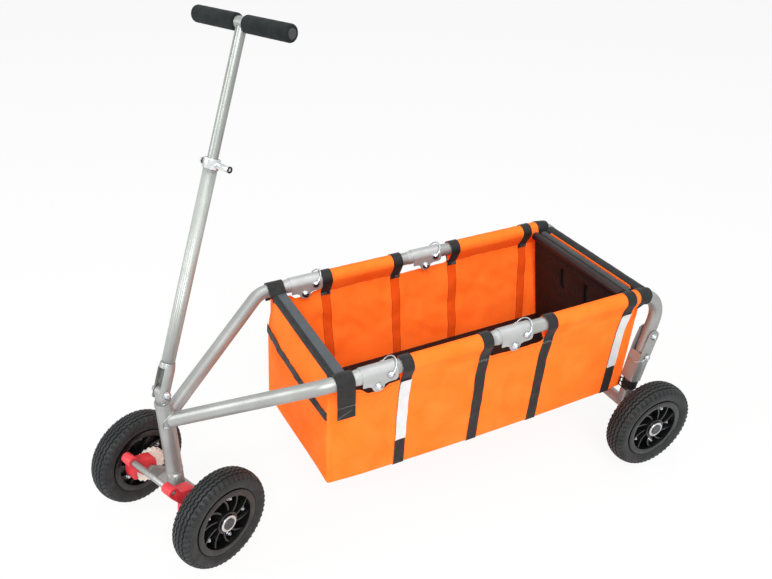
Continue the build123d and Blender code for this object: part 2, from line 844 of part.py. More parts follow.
rear_axle_frame = Plane(origin=(rear_axle_x, 0, 0))
with BuildPart() as rear_axle_tube:
    with BuildSketch(side_plane(rear_axle_frame.offset(axle_z), axle_tube_half)):
        Circle(axle_tube_r)
        Circle(axle_r + weld_gap, mode=Mode.SUBTRACT)
    extrude(amount=2 * axle_tube_half)
save(rear_axle_tube.part, "rear_axle_tube")
axle_inset = hub_half_out - hub_cap_t - 0.6
save(make_axle(rear_axle_frame, rear_half_track + axle_inset, axle_z), "rear_axle_shaft")
save(make_axle(steer_frame, front_half_track + axle_inset, axle_z), "front_axle_shaft")

# Head tube with a flanged bush at each end; the stem turns in the bushes.
head_frame = Plane(origin=(front_axle_x, 0, 0))
with BuildPart() as head_tube:
    with BuildSketch(head_frame.offset(head_bottom)):
        Circle(head_r)
        Circle(head_r - head_wall, mode=Mode.SUBTRACT)
    extrude(amount=head_top - head_bottom)
save(head_tube.part, "head_tube")

bushes = []
for edge, way, flange in ((head_top, 1, bush_flange_top), (head_bottom, -1, bush_flange_bottom)):
    with BuildPart() as bush:
        with BuildSketch(head_frame.offset(edge + way * weld_gap)):
            Circle(bush_flange_r)
            Circle(stem_r + run_gap, mode=Mode.SUBTRACT)
        extrude(amount=way * (flange - weld_gap))
        with BuildSketch(head_frame.offset(edge + way * weld_gap)):
            Circle(head_r - head_wall - weld_gap)
            Circle(stem_r + run_gap, mode=Mode.SUBTRACT)
        extrude(amount=-way * bush_length)
        if way > 0:
            with BuildSketch(head_frame.offset(edge + 0.45 * flange)):
                Circle(bush_flange_r + 1)
                Circle(bush_flange_r - 0.8, mode=Mode.SUBTRACT)
            extrude(amount=1.2, mode=Mode.SUBTRACT)
    bushes.append(bush.part)
save(Compound(children=bushes), "head_bushes")

crown_top = head_bottom - bush_flange_bottom - 0.5
stem_top = head_top + bush_flange_top + 1.5
with BuildPart() as steerer_stem:
    with BuildSketch(steer_frame.offset(beam_top + weld_gap)):
        Circle(head_r)
    extrude(amount=crown_top - beam_top - weld_gap)
    with BuildSketch(steer_frame.offset(beam_top + weld_gap)):
        Circle(stem_r)
    extrude(amount=stem_top - beam_top - weld_gap)
    with BuildSketch(side_plane(steer_frame.offset(pivot_z))):
        Circle(stem_r)
        Rectangle(2 * stem_r, pivot_z - stem_top + 1, align=(Align.CENTER, Align.MAX))
        Circle(bolt_r + run_gap, mode=Mode.SUBTRACT)
    extrude(amount=tongue_half, both=True)
save(steerer_stem.part, "steerer_stem")
save(make_beam(), "front_axle_beam")

# Drawbar fork: a flared tube end, open in front so that the bar can swing down and forward.
with BuildPart() as drawbar_fork:
    with BuildSketch(drawbar_frame.offset(-fork_r)):
        Circle(fork_r)
    extrude(amount=fork_r + fork_flare)
    with BuildSketch(drawbar_frame.offset(fork_flare)):
        Circle(fork_r)
    extrude(amount=fork_top - fork_flare, taper=fork_taper)
    with BuildSketch(drawbar_frame.offset(-fork_r)):
        Circle(spigot_r + weld_gap)
    extrude(amount=fork_r + fork_top, mode=Mode.SUBTRACT)
    with BuildSketch(side_plane(drawbar_frame)):
        Circle(fork_r)
        Rectangle(2 * fork_r, fork_top, align=(Align.CENTER, Align.MIN))
        Circle(bolt_r + run_gap, mode=Mode.SUBTRACT)
    extrude(amount=2 * fork_r, both=True, mode=Mode.INTERSECT)
    with BuildSketch(cross_plane(drawbar_frame, -2)):
        with Locations((0, fork_notch)):
            Rectangle(2 * fork_slot, 2 * fork_notch, align=(Align.CENTER, Align.MAX))
    extrude(amount=2 * fork_r, mode=Mode.SUBTRACT)
    with BuildSketch(cross_plane(drawbar_frame)):
        with Locations((0, stem_r + 2)):
            Rectangle(2 * fork_slot, 4 * fork_r, align=(Align.CENTER, Align.MAX))
    extrude(amount=-2 * fork_r, mode=Mode.SUBTRACT)
save(drawbar_fork.part, "drawbar_fork")
save(make_bolt(drawbar_frame, 0, 0, fork_r, fork_r + 6.0, bolt_r), "drawbar_pivot_bolt")

tube_low = fork_notch + 3.0
collar_top = collar_mid + collar_h / 2
with BuildPart() as drawbar_outer_tube:
    with BuildSketch(drawbar_frame.offset(tube_low)):
        Circle(spigot_r)
    extrude(amount=collar_top - tube_low)
    with BuildSketch(drawbar_frame.offset(fork_top + fit_gap)):
        Circle(outer_tube_r)
    extrude(amount=collar_mid - collar_h / 2 - fork_top - 2 * fit_gap)
    with BuildSketch(drawbar_frame.offset(tube_low)):
        Circle(outer_tube_r - outer_tube_wall)
    extrude(amount=collar_top - tube_low, mode=Mode.SUBTRACT)
save(drawbar_outer_tube.part, "drawbar_outer_tube")

with BuildPart() as drawbar_bush:
    with BuildSketch(drawbar_frame.offset(collar_top - 2 * collar_h)):
        Circle(outer_tube_r - outer_tube_wall - weld_gap)
        Circle(inner_tube_r + run_gap, mode=Mode.SUBTRACT)
    extrude(amount=2 * collar_h)
save(drawbar_bush.part, "drawbar_bush")

# Clamp collar, split on the far side, with a boss for the clamp screw on the near side.
collar_frame = drawbar_frame.offset(collar_mid)
screw_tip = spigot_r + run_gap
with BuildPart() as clamp_collar:
    with BuildSketch(collar_frame.offset(-collar_h / 2)):
        Circle(collar_r)
    extrude(amount=collar_h)
    with BuildSketch(side_plane(collar_frame, -collar_boss_far)):
        Circle(collar_boss_r)
    extrude(amount=-(collar_boss_far + collar_boss_near))
    fillet(clamp_collar.edges().filter_by(GeomType.CIRCLE).group_by(Axis.Z)[-1], 1.0)
    with BuildSketch(collar_frame.offset(-collar_h)):
        Circle(spigot_r + weld_gap)
    extrude(amount=2 * collar_h, mode=Mode.SUBTRACT)
    with BuildSketch(side_plane(collar_frame)):
        Circle(bolt_r + run_gap)
    extrude(amount=-2 * collar_r, mode=Mode.SUBTRACT)
    with BuildSketch(cross_plane(collar_frame, -1)):
        with Locations((-20, 0)):
            Rectangle(20, 2 * collar_h)
    extrude(amount=2, mode=Mode.SUBTRACT)
save(clamp_collar.part, "clamp_collar")

with BuildPart() as clamp_screw:
    with BuildSketch(side_plane(collar_frame, screw_tip)):
        Circle(bolt_r)
    extrude(amount=-(clamp_screw_end - screw_tip))
    with BuildSketch(side_plane(collar_frame, collar_boss_near + fit_gap)):
        Circle(clamp_screw_r)
        with PolarLocations(clamp_screw_r + 0.3, 8):
            Circle(0.9, mode=Mode.SUBTRACT)
    extrude(amount=-(clamp_screw_end - collar_boss_near - fit_gap))
save(clamp_screw.part, "clamp_screw")

bar_frame = drawbar_frame.offset(bar_up)
with BuildPart() as drawbar_inner_tube:
    with BuildSketch(drawbar_frame.offset(inner_tube_low)):
        Circle(inner_tube_r)
        Circle(inner_tube_r - inner_tube_wall, mode=Mode.SUBTRACT)
    extrude(amount=bar_up - inner_tube_low)
    with BuildSketch(side_plane(bar_frame)):
        Circle(bar_r + weld_gap)
    extrude(amount=3 * bar_r, both=True, mode=Mode.SUBTRACT)
save(drawbar_inner_tube.part, "drawbar_inner_tube")

with BuildPart() as handle_bar:
    with BuildSketch(side_plane(bar_frame, bar_half)):
        Circle(bar_r)
        Circle(bar_r - rail_wall, mode=Mode.SUBTRACT)
    extrude(amount=2 * bar_half)
save(handle_bar.part, "handle_bar")
save(pair(make_grip), "handle_grips")

save(pair(make_lever), "brake_levers")
with BuildPart() as brake_rod:
    rod_frame = at(steer_frame, brake_pivot_fwd + brake_boss_fwd, 0, axle_z + brake_pivot_up + brake_boss_up)
    with BuildSketch(side_plane(rod_frame, lever_out - 2)):
        Circle(rod_r)
    extrude(amount=2 * (lever_out - 2))
save(brake_rod.part, "brake_rod")

for name, base, side, half_track in (
    ("front_left", steer_frame, 1, front_half_track),
    ("front_right", steer_frame, -1, front_half_track),
    ("rear_left", rear_axle_frame, 1, rear_half_track),
    ("rear_right", rear_axle_frame, -1, rear_half_track),
):
    wheel = wheel_frame(base, side, half_track, axle_z)
    save(make_tyre(wheel), "tyre_" + name)
    save(make_rim(wheel), "rim_" + name)
    save(make_hub(wheel), "hub_" + name)
    if base is steer_frame:
        save(make_ratchet(wheel, side), "ratchet_" + name)

# Basket.
save(make_side_wall(1), "basket_wall_left")
save(make_side_wall(-1), "basket_wall_right")
end_half = floor_half - cloth_t / 2 - 0.3
with BuildPart() as basket_wall_front:
    with BuildSketch(cross_plane(ground, wall_front_x - cloth_t / 2)):
        with Locations((0, floor_z + 0.3)):
            Rectangle(2 * end_half, wall_top, align=(Align.CENTER, Align.MIN))
    extrude(amount=cloth_t)
save(basket_wall_front.part, "basket_wall_front")

tunnel_low = cross_z - cross_tube_r - cloth_gap - cloth_t - 0.3
with BuildPart() as basket_wall_rear:
    with BuildSketch(side_plane(ground)):
        with BuildLine():
            Polyline(
                (wall_rear_x - cloth_t / 2, floor_z + 0.3), (wall_rear_x + cloth_t / 2, floor_z + 0.3),
                (cross_x + cloth_t / 2, tunnel_low), (cross_x - cloth_t / 2, tunnel_low), close=True,
            )
        make_face()
    extrude(amount=end_half, both=True)
save(basket_wall_rear.part, "basket_wall_rear")

with BuildPart() as basket_floor:
    with BuildSketch(ground.offset(floor_z - cloth_t)):
        with Locations(((wall_front_x + wall_rear_x) / 2, 0)):
            Rectangle(wall_front_x - wall_rear_x + cloth_t, 2 * floor_half + cloth_t)
    extrude(amount=cloth_t - 0.2)
save(basket_floor.part, "basket_floor")

# Black tunnel round the cross tube, and a cap round each rail where it starts to bend.
cap_turn = cross_tube_turn * 0.45


def bend_point(turn, side):
    """A point on the middle of the rail's bend, at an angle from where the bend starts."""
    along = leg_bend_r * sin(radians(turn))
    drop = leg_bend_r * (1 - cos(radians(turn)))
    return (leg_bend_start - along, side * rail_y, rail_z - drop)


caps = []
for side in (1, -1):
    with BuildPart() as cap:
        with BuildLine() as cap_path:
            cap_line = Line((cap_start - 0.5, side * rail_y, rail_z), (leg_bend_start, side * rail_y, rail_z))
            ThreePointArc(cap_line @ 1, bend_point(cap_turn / 2, side), bend_point(cap_turn, side))
        with BuildSketch(cross_plane(rail_frame(cap_start - 0.5, side))):
            Circle(tunnel_out)
            Circle(tunnel_in, mode=Mode.SUBTRACT)
        sweep(path=cap_path.line)
    caps.append(cap.part)
with BuildPart() as tunnel:
    with BuildSketch(side_plane(cross_frame, end_half - 3)):
        Circle(cross_tube_r + cloth_gap + cloth_t)
        Circle(cross_tube_r + cloth_gap, mode=Mode.SUBTRACT)
    extrude(amount=2 * (end_half - 3))
save(Compound(children=caps + [tunnel.part]), "rear_tunnel")

with BuildPart() as floor_board:
    with BuildSketch(ground.offset(floor_z + 0.3)):
        with Locations(((wall_front_x + wall_rear_x) / 2, 0)):
            Rectangle(wall_front_x - wall_rear_x - board_in, 2 * end_half - board_gap)
    extrude(amount=floor_board_t)
save(floor_board.part, "floor_board")
save(make_board(wall_rear_x + board_in, rear_board_lean, rear_edge_w, rear_edge_h, True), "rear_board")
save(make_board(wall_front_x - board_in, -front_board_lean, front_edge_w, front_edge_h, False), "front_board")

straps = []
fronts = []
for side in (1, -1):
    for strap_x in strap_xs:
        straps.append(make_hung_strap(side, strap_x, strap_w, strap_in, strap_t, wall_top))
    fronts.append(make_hung_strap(side, corner_strap_x, corner_strap_w, rail_r + 2, strap_t, corner_strap_drop))
for band_z in band_zs:
    with BuildPart() as band:
        with BuildSketch(cross_plane(ground, wall_front_x + strap_face)):
            with Locations((0, band_z)):
                Rectangle(2 * end_half - 6, strap_w)
        extrude(amount=strap_t)
    fronts.append(band.part)
save(Compound(children=straps), "side_straps")
save(Compound(children=fronts), "front_straps")
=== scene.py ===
"""Looks of the folding hand cart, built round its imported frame."""

import json
import logging
from dataclasses import dataclass
from enum import Enum, IntEnum
from math import atan2, copysign, cos, exp, hypot, pi, radians, sin, sqrt
from typing import Sequence

import bmesh
import bpy
import numpy as np
from mathutils import Matrix, Vector, noise

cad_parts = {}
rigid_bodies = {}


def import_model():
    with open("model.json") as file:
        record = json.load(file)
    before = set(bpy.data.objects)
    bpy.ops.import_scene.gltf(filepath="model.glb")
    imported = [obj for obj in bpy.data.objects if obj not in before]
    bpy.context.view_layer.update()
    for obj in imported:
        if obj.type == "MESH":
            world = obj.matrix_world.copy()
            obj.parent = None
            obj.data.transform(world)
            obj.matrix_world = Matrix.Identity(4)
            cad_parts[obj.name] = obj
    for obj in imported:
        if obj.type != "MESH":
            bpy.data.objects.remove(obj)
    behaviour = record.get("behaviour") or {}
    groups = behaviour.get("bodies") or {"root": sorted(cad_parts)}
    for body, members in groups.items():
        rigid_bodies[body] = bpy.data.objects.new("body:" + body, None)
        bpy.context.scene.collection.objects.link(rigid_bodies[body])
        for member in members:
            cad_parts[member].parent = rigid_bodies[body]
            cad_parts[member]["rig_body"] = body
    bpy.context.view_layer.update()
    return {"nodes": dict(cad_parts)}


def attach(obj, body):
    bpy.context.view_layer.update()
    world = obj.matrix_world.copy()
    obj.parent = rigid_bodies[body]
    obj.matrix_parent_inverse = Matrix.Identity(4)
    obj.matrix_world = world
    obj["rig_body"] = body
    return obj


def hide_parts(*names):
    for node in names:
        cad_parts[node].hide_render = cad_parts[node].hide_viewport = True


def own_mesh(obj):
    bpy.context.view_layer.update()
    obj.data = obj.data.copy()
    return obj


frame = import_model()

MM = 0.001
Rgba = tuple[float, float, float, float]
Spot = tuple[float, float, float]
Pairs = tuple[tuple[float, float], ...]
Tree = bpy.types.NodeTree
Socket = bpy.types.NodeSocket
Sockets = bpy.types.bpy_prop_collection
Mesh = bpy.types.Mesh
Thing = bpy.types.Object
log = logging.getLogger("hand_cart")


class Side(IntEnum):
    """A side of the cart, with the sign of its Y."""

    LEFT = 1
    RIGHT = -1

    @property
    def label(self) -> str:
        """The side's word in the names of pieces."""
        return self.name.lower()


class Slot(Enum):
    """Material slots of the record."""

    SILVER = "silver_paint"
    ZINC = "zinc_steel"
    FABRIC = "orange_fabric"
    WEBBING = "black_webbing"
    BOARD = "dark_board"
    PALE = "pale_plastic"
    GRIP = "grip_rubber"
    RED = "red_plastic"
    IVORY = "ivory_plastic"
    TYRE = "tyre_rubber"
    RIM = "rim_plastic"
    BEARING = "bearing_steel"


class Body(Enum):
    """Bodies of the frame that pieces ride on."""

    MID = "frame_mid"
    FRONT = "front_frame"
    REAR = "rear_frame"
    LEGS = "rear_legs"
    DRAWBAR = "drawbar"
    HANDLE = "handle"
    CLAMP = "clamp"


@dataclass(frozen=True)
class Layout:
    """Places on the cart that several classes share, in millimetres and degrees."""

    rail_y: float = 177.0
    rail_z: float = 382.0
    hinge_z: float = 363.5
    rear_hinge_x: float = -180.0
    front_hinge_x: float = 112.0
    front_axle_x: float = 459.0
    rear_axle_x: float = -512.0
    axle_z: float = 100.0
    steer_deg: float = 24.0


CART = Layout()
# Edges of a dressed CAD node that are sharper than this stay sharp.
NODE_SHARP_DEG = 32.0
# Angles of a quarter turn after its start, for the cloth's rounded lower edges.
QUARTER = np.linspace(0, pi / 2, 6)[1:]


# ---------------------------------------------------------------- small tools


def linear(code: str) -> Rgba:
    """Linear colour of an sRGB hex code.

    Args:
        code: colour as #RRGGBB.
    Returns:
        Linear red, green, blue and alpha.
    """
    parts = [int(code[i : i + 2], 16) / 255 for i in (1, 3, 5)]
    bent = [p / 12.92 if p <= 0.04045 else ((p + 0.055) / 1.055) ** 2.4 for p in parts]
    return (bent[0], bent[1], bent[2], 1.0)


def add(tree: Tree, kind: str, inputs: dict | None = None, **settings) -> bpy.types.Node:
    """Add one node with its settings, its values and its links.

    Args:
        tree: tree that gets the node.
        kind: type name of the node.
        inputs: socket name or number to a value, or to the output it is linked from.
        settings: attributes of the node itself.
    Returns:
        The new node.
    """
    made = tree.nodes.new(kind)
    for key, value in settings.items():
        setattr(made, key, value)
    for key, value in (inputs or {}).items():
        if isinstance(value, Socket):
            tree.links.new(value, made.inputs[key])
        else:
            made.inputs[key].default_value = value
    return made


def mesh_of(name: str, points: Sequence, faces: Sequence[Sequence[int]], edges: Sequence = ()) -> Mesh:
    """A mesh from points in millimetres.

    Args:
        name: name of the mesh.
        points: points in millimetres.
        faces: corner numbers of each face.
        edges: loose edges.
    Returns:
        The mesh, in metres.
    """
    mesh = bpy.data.meshes.new(name)
    mesh.from_pydata((np.asarray(points, float) * MM).tolist(), list(edges), list(faces))
    return mesh


def tidy_mesh(mesh: Mesh, merge_mm: float = 0.01) -> Mesh:
    """Merge doubled corners and turn the faces outwards.

    Args:
        mesh: mesh to mend.
        merge_mm: corners nearer than this become one.
    Returns:
        The same mesh.
    """
    work = bmesh.new()
    work.from_mesh(mesh)
    bmesh.ops.remove_doubles(work, verts=work.verts, dist=merge_mm * MM)
    bmesh.ops.recalc_face_normals(work, faces=work.faces)
    work.to_mesh(mesh)
    work.free()
    return mesh


def ring_quads(rows: int, ring: int) -> list[tuple[int, int, int, int]]:
    """Faces between rings of points that follow each other.

    Args:
        rows: how many rings.
        ring: points in a ring.
    Returns:
        Corner numbers of each face.
    """
    return [(i * ring + j, i * ring + (j + 1) % ring, (i + 1) * ring + (j + 1) % ring, (i + 1) * ring + j)
            for i in range(rows - 1) for j in range(ring)]


def arc_through(a: Sequence[float], b: Sequence[float], c: Sequence[float], count: int) -> np.ndarray:
    """Points of the circle arc from a through b to c in a plane.

    Args:
        a: first point.
        b: point on the way.
        c: last point.
        count: how many points.
    Returns:
        count by 2 array.
    """
    (ax, ay), (bx, by), (cx, cy) = a, b, c
    d = 2 * (ax * (by - cy) + bx * (cy - ay) + cx * (ay - by))
    a2, b2, c2 = ax * ax + ay * ay, bx * bx + by * by, cx * cx + cy * cy
    ox = (a2 * (by - cy) + b2 * (cy - ay) + c2 * (ay - by)) / d
    oy = (a2 * (cx - bx) + b2 * (ax - cx) + c2 * (bx - ax)) / d
    radius = hypot(ax - ox, ay - oy)
    first, middle, last = (atan2(p[1] - oy, p[0] - ox) for p in (a, b, c))
    turn = (last - first) % (2 * pi)
    if (middle - first) % (2 * pi) > turn:
        turn -= 2 * pi
    angles = first + turn * np.linspace(0, 1, count)
    return np.stack([ox + radius * np.cos(angles), oy + radius * np.sin(angles)], axis=1)


def spread(half: float, count: int) -> np.ndarray:
    """Even places from minus a half width to plus it."""
    return np.linspace(-half, half, count)


def arc(radius: float, first_deg: float, last_deg: float, count: int) -> list[tuple[float, float]]:
    """Points of a circle arc about the origin, from one angle to another."""
    turns = [radians(a) for a in np.linspace(first_deg, last_deg, count)]
    return [(radius * cos(a), radius * sin(a)) for a in turns]


def lathe(name: str, profile: Sequence[Sequence[float]], place: Matrix, segments: int) -> Mesh:
    """Turn a profile round the Z axis of a place.

    Args:
        name: name of the mesh.
        profile: radius and height pairs in millimetres; a radius of 0 closes an end.
        place: frame of the axis, in metres.
        segments: steps round the axis.
    Returns:
        The closed mesh.
    """
    ring = np.linspace(0, 2 * pi, segments, endpoint=False)
    rows = [np.stack([r * np.cos(ring), r * np.sin(ring), np.full(segments, h)], axis=1) for r, h in profile]
    mesh = tidy_mesh(mesh_of(name, np.concatenate(rows), ring_quads(len(profile), segments)))
    mesh.transform(place)
    return mesh


def run_lengths(rows: np.ndarray, axis: int) -> np.ndarray:
    """Distance run along one axis of a grid of points, from its first row or column."""
    steps = np.cumsum(np.linalg.norm(np.diff(rows, axis=axis), axis=2), axis=axis)
    return np.insert(steps, 0, 0.0, axis=axis)


def cloth_mesh(name: str, rows: Sequence, thick: float, flip: bool = False) -> Mesh:
    """A sheet with thickness from a grid of points; its UV map runs along the grid in metres.

    Args:
        name: name of the mesh.
        rows: m by n grid of points of the middle surface in millimetres.
        thick: thickness in millimetres.
        flip: turns each row round.
    Returns:
        A closed thin mesh.
    """
    rows = np.array(rows)
    if flip:
        rows = rows[:, ::-1]
    m, n, _ = rows.shape
    normal = np.cross(np.gradient(rows, axis=0), np.gradient(rows, axis=1))
    normal /= np.maximum(np.linalg.norm(normal, axis=2, keepdims=True), 1e-9)
    points = np.concatenate([(rows + normal * half).reshape(-1, 3) for half in (thick / 2, -thick / 2)])
    number = np.arange(m * n).reshape(m, n)
    low = number + m * n
    quads = [
        np.stack([number[:-1, :-1], number[1:, :-1], number[1:, 1:], number[:-1, 1:]], -1).reshape(-1, 4),
        np.stack([low[:-1, :-1], low[:-1, 1:], low[1:, 1:], low[1:, :-1]], -1).reshape(-1, 4),
    ]
    for top, under in ((number[0], low[0]), (number[-1][::-1], low[-1][::-1]),
                       (number[:, 0][::-1], low[:, 0][::-1]), (number[:, -1], low[:, -1])):
        quads.append(np.stack([top[:-1], top[1:], under[1:], under[:-1]], -1))
    mesh = mesh_of(name, points, np.concatenate(quads).tolist())
    flat = np.stack([run_lengths(rows, 0), run_lengths(rows, 1)], -1).reshape(-1, 2) * MM
    layer = mesh.uv_layers.new(name="cut")
    corner = np.zeros(len(mesh.loops), np.int32)
    mesh.loops.foreach_get("vertex_index", corner)
    layer.data.foreach_set("uv", flat[corner % (m * n)].astype(np.float32).ravel())
    return tidy_mesh(mesh, 0.001)


def tube_mesh(name: str, path: Sequence, radius: float, sides: int = 10) -> Mesh:
    """A round bar along a line of points, closed at both ends.

    Args:
        name: name of the mesh.
        path: points in millimetres.
        radius: radius in millimetres.
        sides: corners of its section.
    Returns:
        The closed mesh.
    """
    path = np.asarray(path, float)
    heading = np.gradient(path, axis=0)
    heading /= np.linalg.norm(heading, axis=1, keepdims=True)
    side = np.cross(heading[0], (0.0, 0.0, 1.0) if abs(heading[0][2]) < 0.9 else (1.0, 0.0, 0.0))
    points, angles = [], np.linspace(0, 2 * pi, sides, endpoint=False)
    for spot, way in zip(path, heading):
        side = side - way * np.dot(side, way)
        side /= np.linalg.norm(side)
        other = np.cross(way, side)
        points.append(spot + radius * (np.outer(np.cos(angles), side) + np.outer(np.sin(angles), other)))
    ends = [tuple(range(sides))[::-1], tuple(range((len(path) - 1) * sides, len(path) * sides))]
    return tidy_mesh(mesh_of(name, np.concatenate(points), ends + ring_quads(len(path), sides)))


def joined(name: str, meshes: Sequence[Mesh]) -> Mesh:
    """Several meshes as one; the materials are those of the first.

    Args:
        name: name of the new mesh.
        meshes: meshes to join, which are used up.
    Returns:
        The joined mesh.
    """
    work = bmesh.new()
    for mesh in meshes:
        work.from_mesh(mesh)
    made = bpy.data.meshes.new(name)
    for material in meshes[0].materials:
        made.materials.append(material)
    work.to_mesh(made)
    work.free()
    for mesh in meshes:
        bpy.data.meshes.remove(mesh)
    return made


def wave(x: float, y: float, seed: float) -> float:
    """Smooth noise from -1 to 1 at a point, the same each run."""
    return noise.noise(Vector((x, y, seed)))


def hump(share: float) -> float:
    """0 at both ends of a share from 0 to 1, and 1 midway."""
    return sin(pi * min(1.0, max(0.0, share)))


def smooth(value: float) -> float:
    """Ease a share from 0 to 1, held at its ends."""
    t = min(1.0, max(0.0, value))
    return t * t * (3 - 2 * t)


# ---------------------------------------------------------------- finishes


@dataclass(frozen=True)
class Finish:
    """A surface: two close tones in a broad mottle, a fine grain, and its gloss."""

    name: str
    slot: Slot
    light: str
    dark: str
    rough: float = 0.5
    metallic: float = 0.0
    grain_mm: float = 3.0
    bump_mm: float = 0.05
    mottle_mm: float = 40.0
    sheen: float = 0.0
    coat: float = 0.0
    spec: float = 0.5
    # A painted glow: light that the surface gives off although it is no lamp.
    glow: str = "#000000"

    def mottle(self, tree: Tree, place: Socket) -> Socket:
        """Broad noise spread over 0 to 1.

        Args:
            tree: material's tree.
            place: coordinates in metres.
        Returns:
            The noise as a socket.
        """
        cloud = add(tree, "ShaderNodeTexNoise", {"Vector": place, "Scale": 1000 / self.mottle_mm, "Detail": 5.0})
        spread = add(tree, "ShaderNodeMapRange", {"Value": cloud.outputs[0], "From Min": 0.3, "From Max": 0.7})
        return spread.outputs[0]

    def marked(self, tree: Tree, place: Socket, mark: Socket, share: float) -> Socket:
        """The mottle with a share of a finer mark on it.

        Args:
            tree: material's tree.
            place: coordinates in metres.
            mark: the finer mark, 0 to 1.
            share: how strongly it shows.
        Returns:
            The tone, 0 to 1.
        """
        mixed = {0: mark, 1: share, 2: self.mottle(tree, place)}
        return add(tree, "ShaderNodeMath", mixed, operation="MULTIPLY_ADD", use_clamp=True).outputs[0]

    def stripes(self, tree: Tree, place: Socket, pitch_mm: float, way: str, bend: float = 0.0) -> Socket:
        """Fine parallel waves.

        Args:
            tree: material's tree.
            place: coordinates in metres.
            pitch_mm: distance from wave to wave.
            way: direction across the waves.
            bend: how far they stray.
        Returns:
            The waves, 0 to 1.
        """
        given = {"Vector": place, "Scale": pi / 10 / (pitch_mm * MM), "Distortion": bend}
        return add(tree, "ShaderNodeTexWave", given, bands_direction=way).outputs[1]

    def pattern(self, tree: Tree) -> tuple[Socket, Socket]:
        """Tone and height of the surface.

        Args:
            tree: material's tree.
        Returns:
            The tone, 0 to 1, and the height, 0 to 1.
        """
        place = add(tree, "ShaderNodeTexCoord").outputs["Object"]
        grain = add(tree, "ShaderNodeTexNoise", {"Vector": place, "Scale": 1000 / self.grain_mm, "Detail": 3.0})
        return self.mottle(tree, place), grain.outputs[0]

    def material(self) -> bpy.types.Material:
        """The finish as a material, made once.

        Returns:
            The material.
        """
        found = bpy.data.materials.get(self.name)
        if found:
            return found
        made = bpy.data.materials.new(self.name)
        made.use_nodes = True
        tree = made.node_tree
        tree.nodes.clear()
        tone, height = self.pattern(tree)
        colour = add(tree, "ShaderNodeMix", {0: tone, 6: linear(self.dark), 7: linear(self.light)}, data_type="RGBA")
        gloss = add(tree, "ShaderNodeMapRange",
                    {"Value": tone, "To Min": min(1.0, self.rough * 1.15), "To Max": self.rough * 0.87})
        bump = add(tree, "ShaderNodeBump", {"Height": height, "Strength": 0.8, "Distance": self.bump_mm * MM})
        shader = add(tree, "ShaderNodeBsdfPrincipled", {
            "Base Color": colour.outputs[2], "Roughness": gloss.outputs[0], "Normal": bump.outputs[0],
            "Metallic": self.metallic, "Sheen Weight": self.sheen, "Coat Weight": self.coat,
            "Specular IOR Level": self.spec, "Emission Color": linear(self.glow), "Emission Strength": 1.0,
        })
        add(tree, "ShaderNodeOutputMaterial", {"Surface": shader.outputs[0]})
        made.diffuse_color = linear(self.light)
        return made


@dataclass(frozen=True)
class WovenCloth(Finish):
    """Plain weave on the cut's own UV map, with soft creases."""

    thread_mm: float = 1.4
    crease_mm: float = 26.0

    def pattern(self, tree: Tree) -> tuple[Socket, Socket]:
        """Tone from patches and threads; height from threads and creases.

        Args:
            tree: material's tree.
        Returns:
            The tone and the height.
        """
        cut = add(tree, "ShaderNodeTexCoord").outputs["UV"]
        warp, weft = (self.stripes(tree, cut, self.thread_mm, way) for way in "XY")
        weave = add(tree, "ShaderNodeMath", {0: warp, 1: weft}, operation="MULTIPLY")
        fold = add(tree, "ShaderNodeTexNoise",
                   {"Vector": cut, "Scale": 1000 / self.crease_mm, "Detail": 3.0, "Distortion": 0.8})
        height = add(tree, "ShaderNodeMath", {0: weave.outputs[0], 1: 0.16, 2: fold.outputs[0]},
                     operation="MULTIPLY_ADD")
        return self.marked(tree, cut, weave.outputs[0], 0.35), height.outputs[0]


@dataclass(frozen=True)
class RibbedWebbing(Finish):
    """Webbing with ribs across its length, on its own UV map."""

    rib_mm: float = 2.2

    def pattern(self, tree: Tree) -> tuple[Socket, Socket]:
        """Tone and height from ribs in two diagonals.

        Args:
            tree: material's tree.
        Returns:
            The tone and the height.
        """
        cut = add(tree, "ShaderNodeTexCoord").outputs["UV"]
        ribs = self.stripes(tree, cut, self.rib_mm, "X")
        twill = self.stripes(tree, cut, self.rib_mm / 0.7, "DIAGONAL")
        height = add(tree, "ShaderNodeMath", {0: ribs, 1: twill}, operation="MAXIMUM")
        return self.marked(tree, cut, height.outputs[0], 0.4), height.outputs[0]


@dataclass(frozen=True)
class CellSurface(Finish):
    """A surface of small cells, such as foam pits or reflecting beads."""

    cell_mm: float = 1.2

    def pattern(self, tree: Tree) -> tuple[Socket, Socket]:
        """Tone from the mottle and the cells; height from the cells.

        Args:
            tree: material's tree.
        Returns:
            The tone and the height.
        """
        place = add(tree, "ShaderNodeTexCoord").outputs["Object"]
        cells = add(tree, "ShaderNodeTexVoronoi", {"Vector": place, "Scale": 1000 / self.cell_mm})
        return self.marked(tree, place, cells.outputs[0], 0.4), cells.outputs[0]


@dataclass(frozen=True)
class RibbedSheet(Finish):
    """Extruded board with fine lines along one axis of the cart."""

    line_mm: float = 5.0
    direction: str = "Z"

    def pattern(self, tree: Tree) -> tuple[Socket, Socket]:
        """Tone and height from the extrusion lines and the mottle.

        Args:
            tree: material's tree.
        Returns:
            The tone and the height.
        """
        place = add(tree, "ShaderNodeTexCoord").outputs["Object"]
        lines = self.stripes(tree, place, self.line_mm, self.direction, 0.3)
        tone = add(tree, "ShaderNodeMath", {0: lines, 1: self.mottle(tree, place)}, operation="MULTIPLY")
        return tone.outputs[0], lines


# Powder paint on steel tube: a soft metallic gloss.
SILVER = Finish("silver_powder_paint_on_steel", Slot.SILVER, "#A4A6A4", "#949694", rough=0.38, metallic=0.5,
                grain_mm=1.6, bump_mm=0.04, mottle_mm=55.0)
# Cast aluminium of the rail joints: paler, with a shot-blasted grain.
CAST = Finish("cast_aluminium_joint", Slot.SILVER, "#B6B8B7", "#A7A9A8", rough=0.42, metallic=0.45, grain_mm=1.2,
              bump_mm=0.06, mottle_mm=30.0)
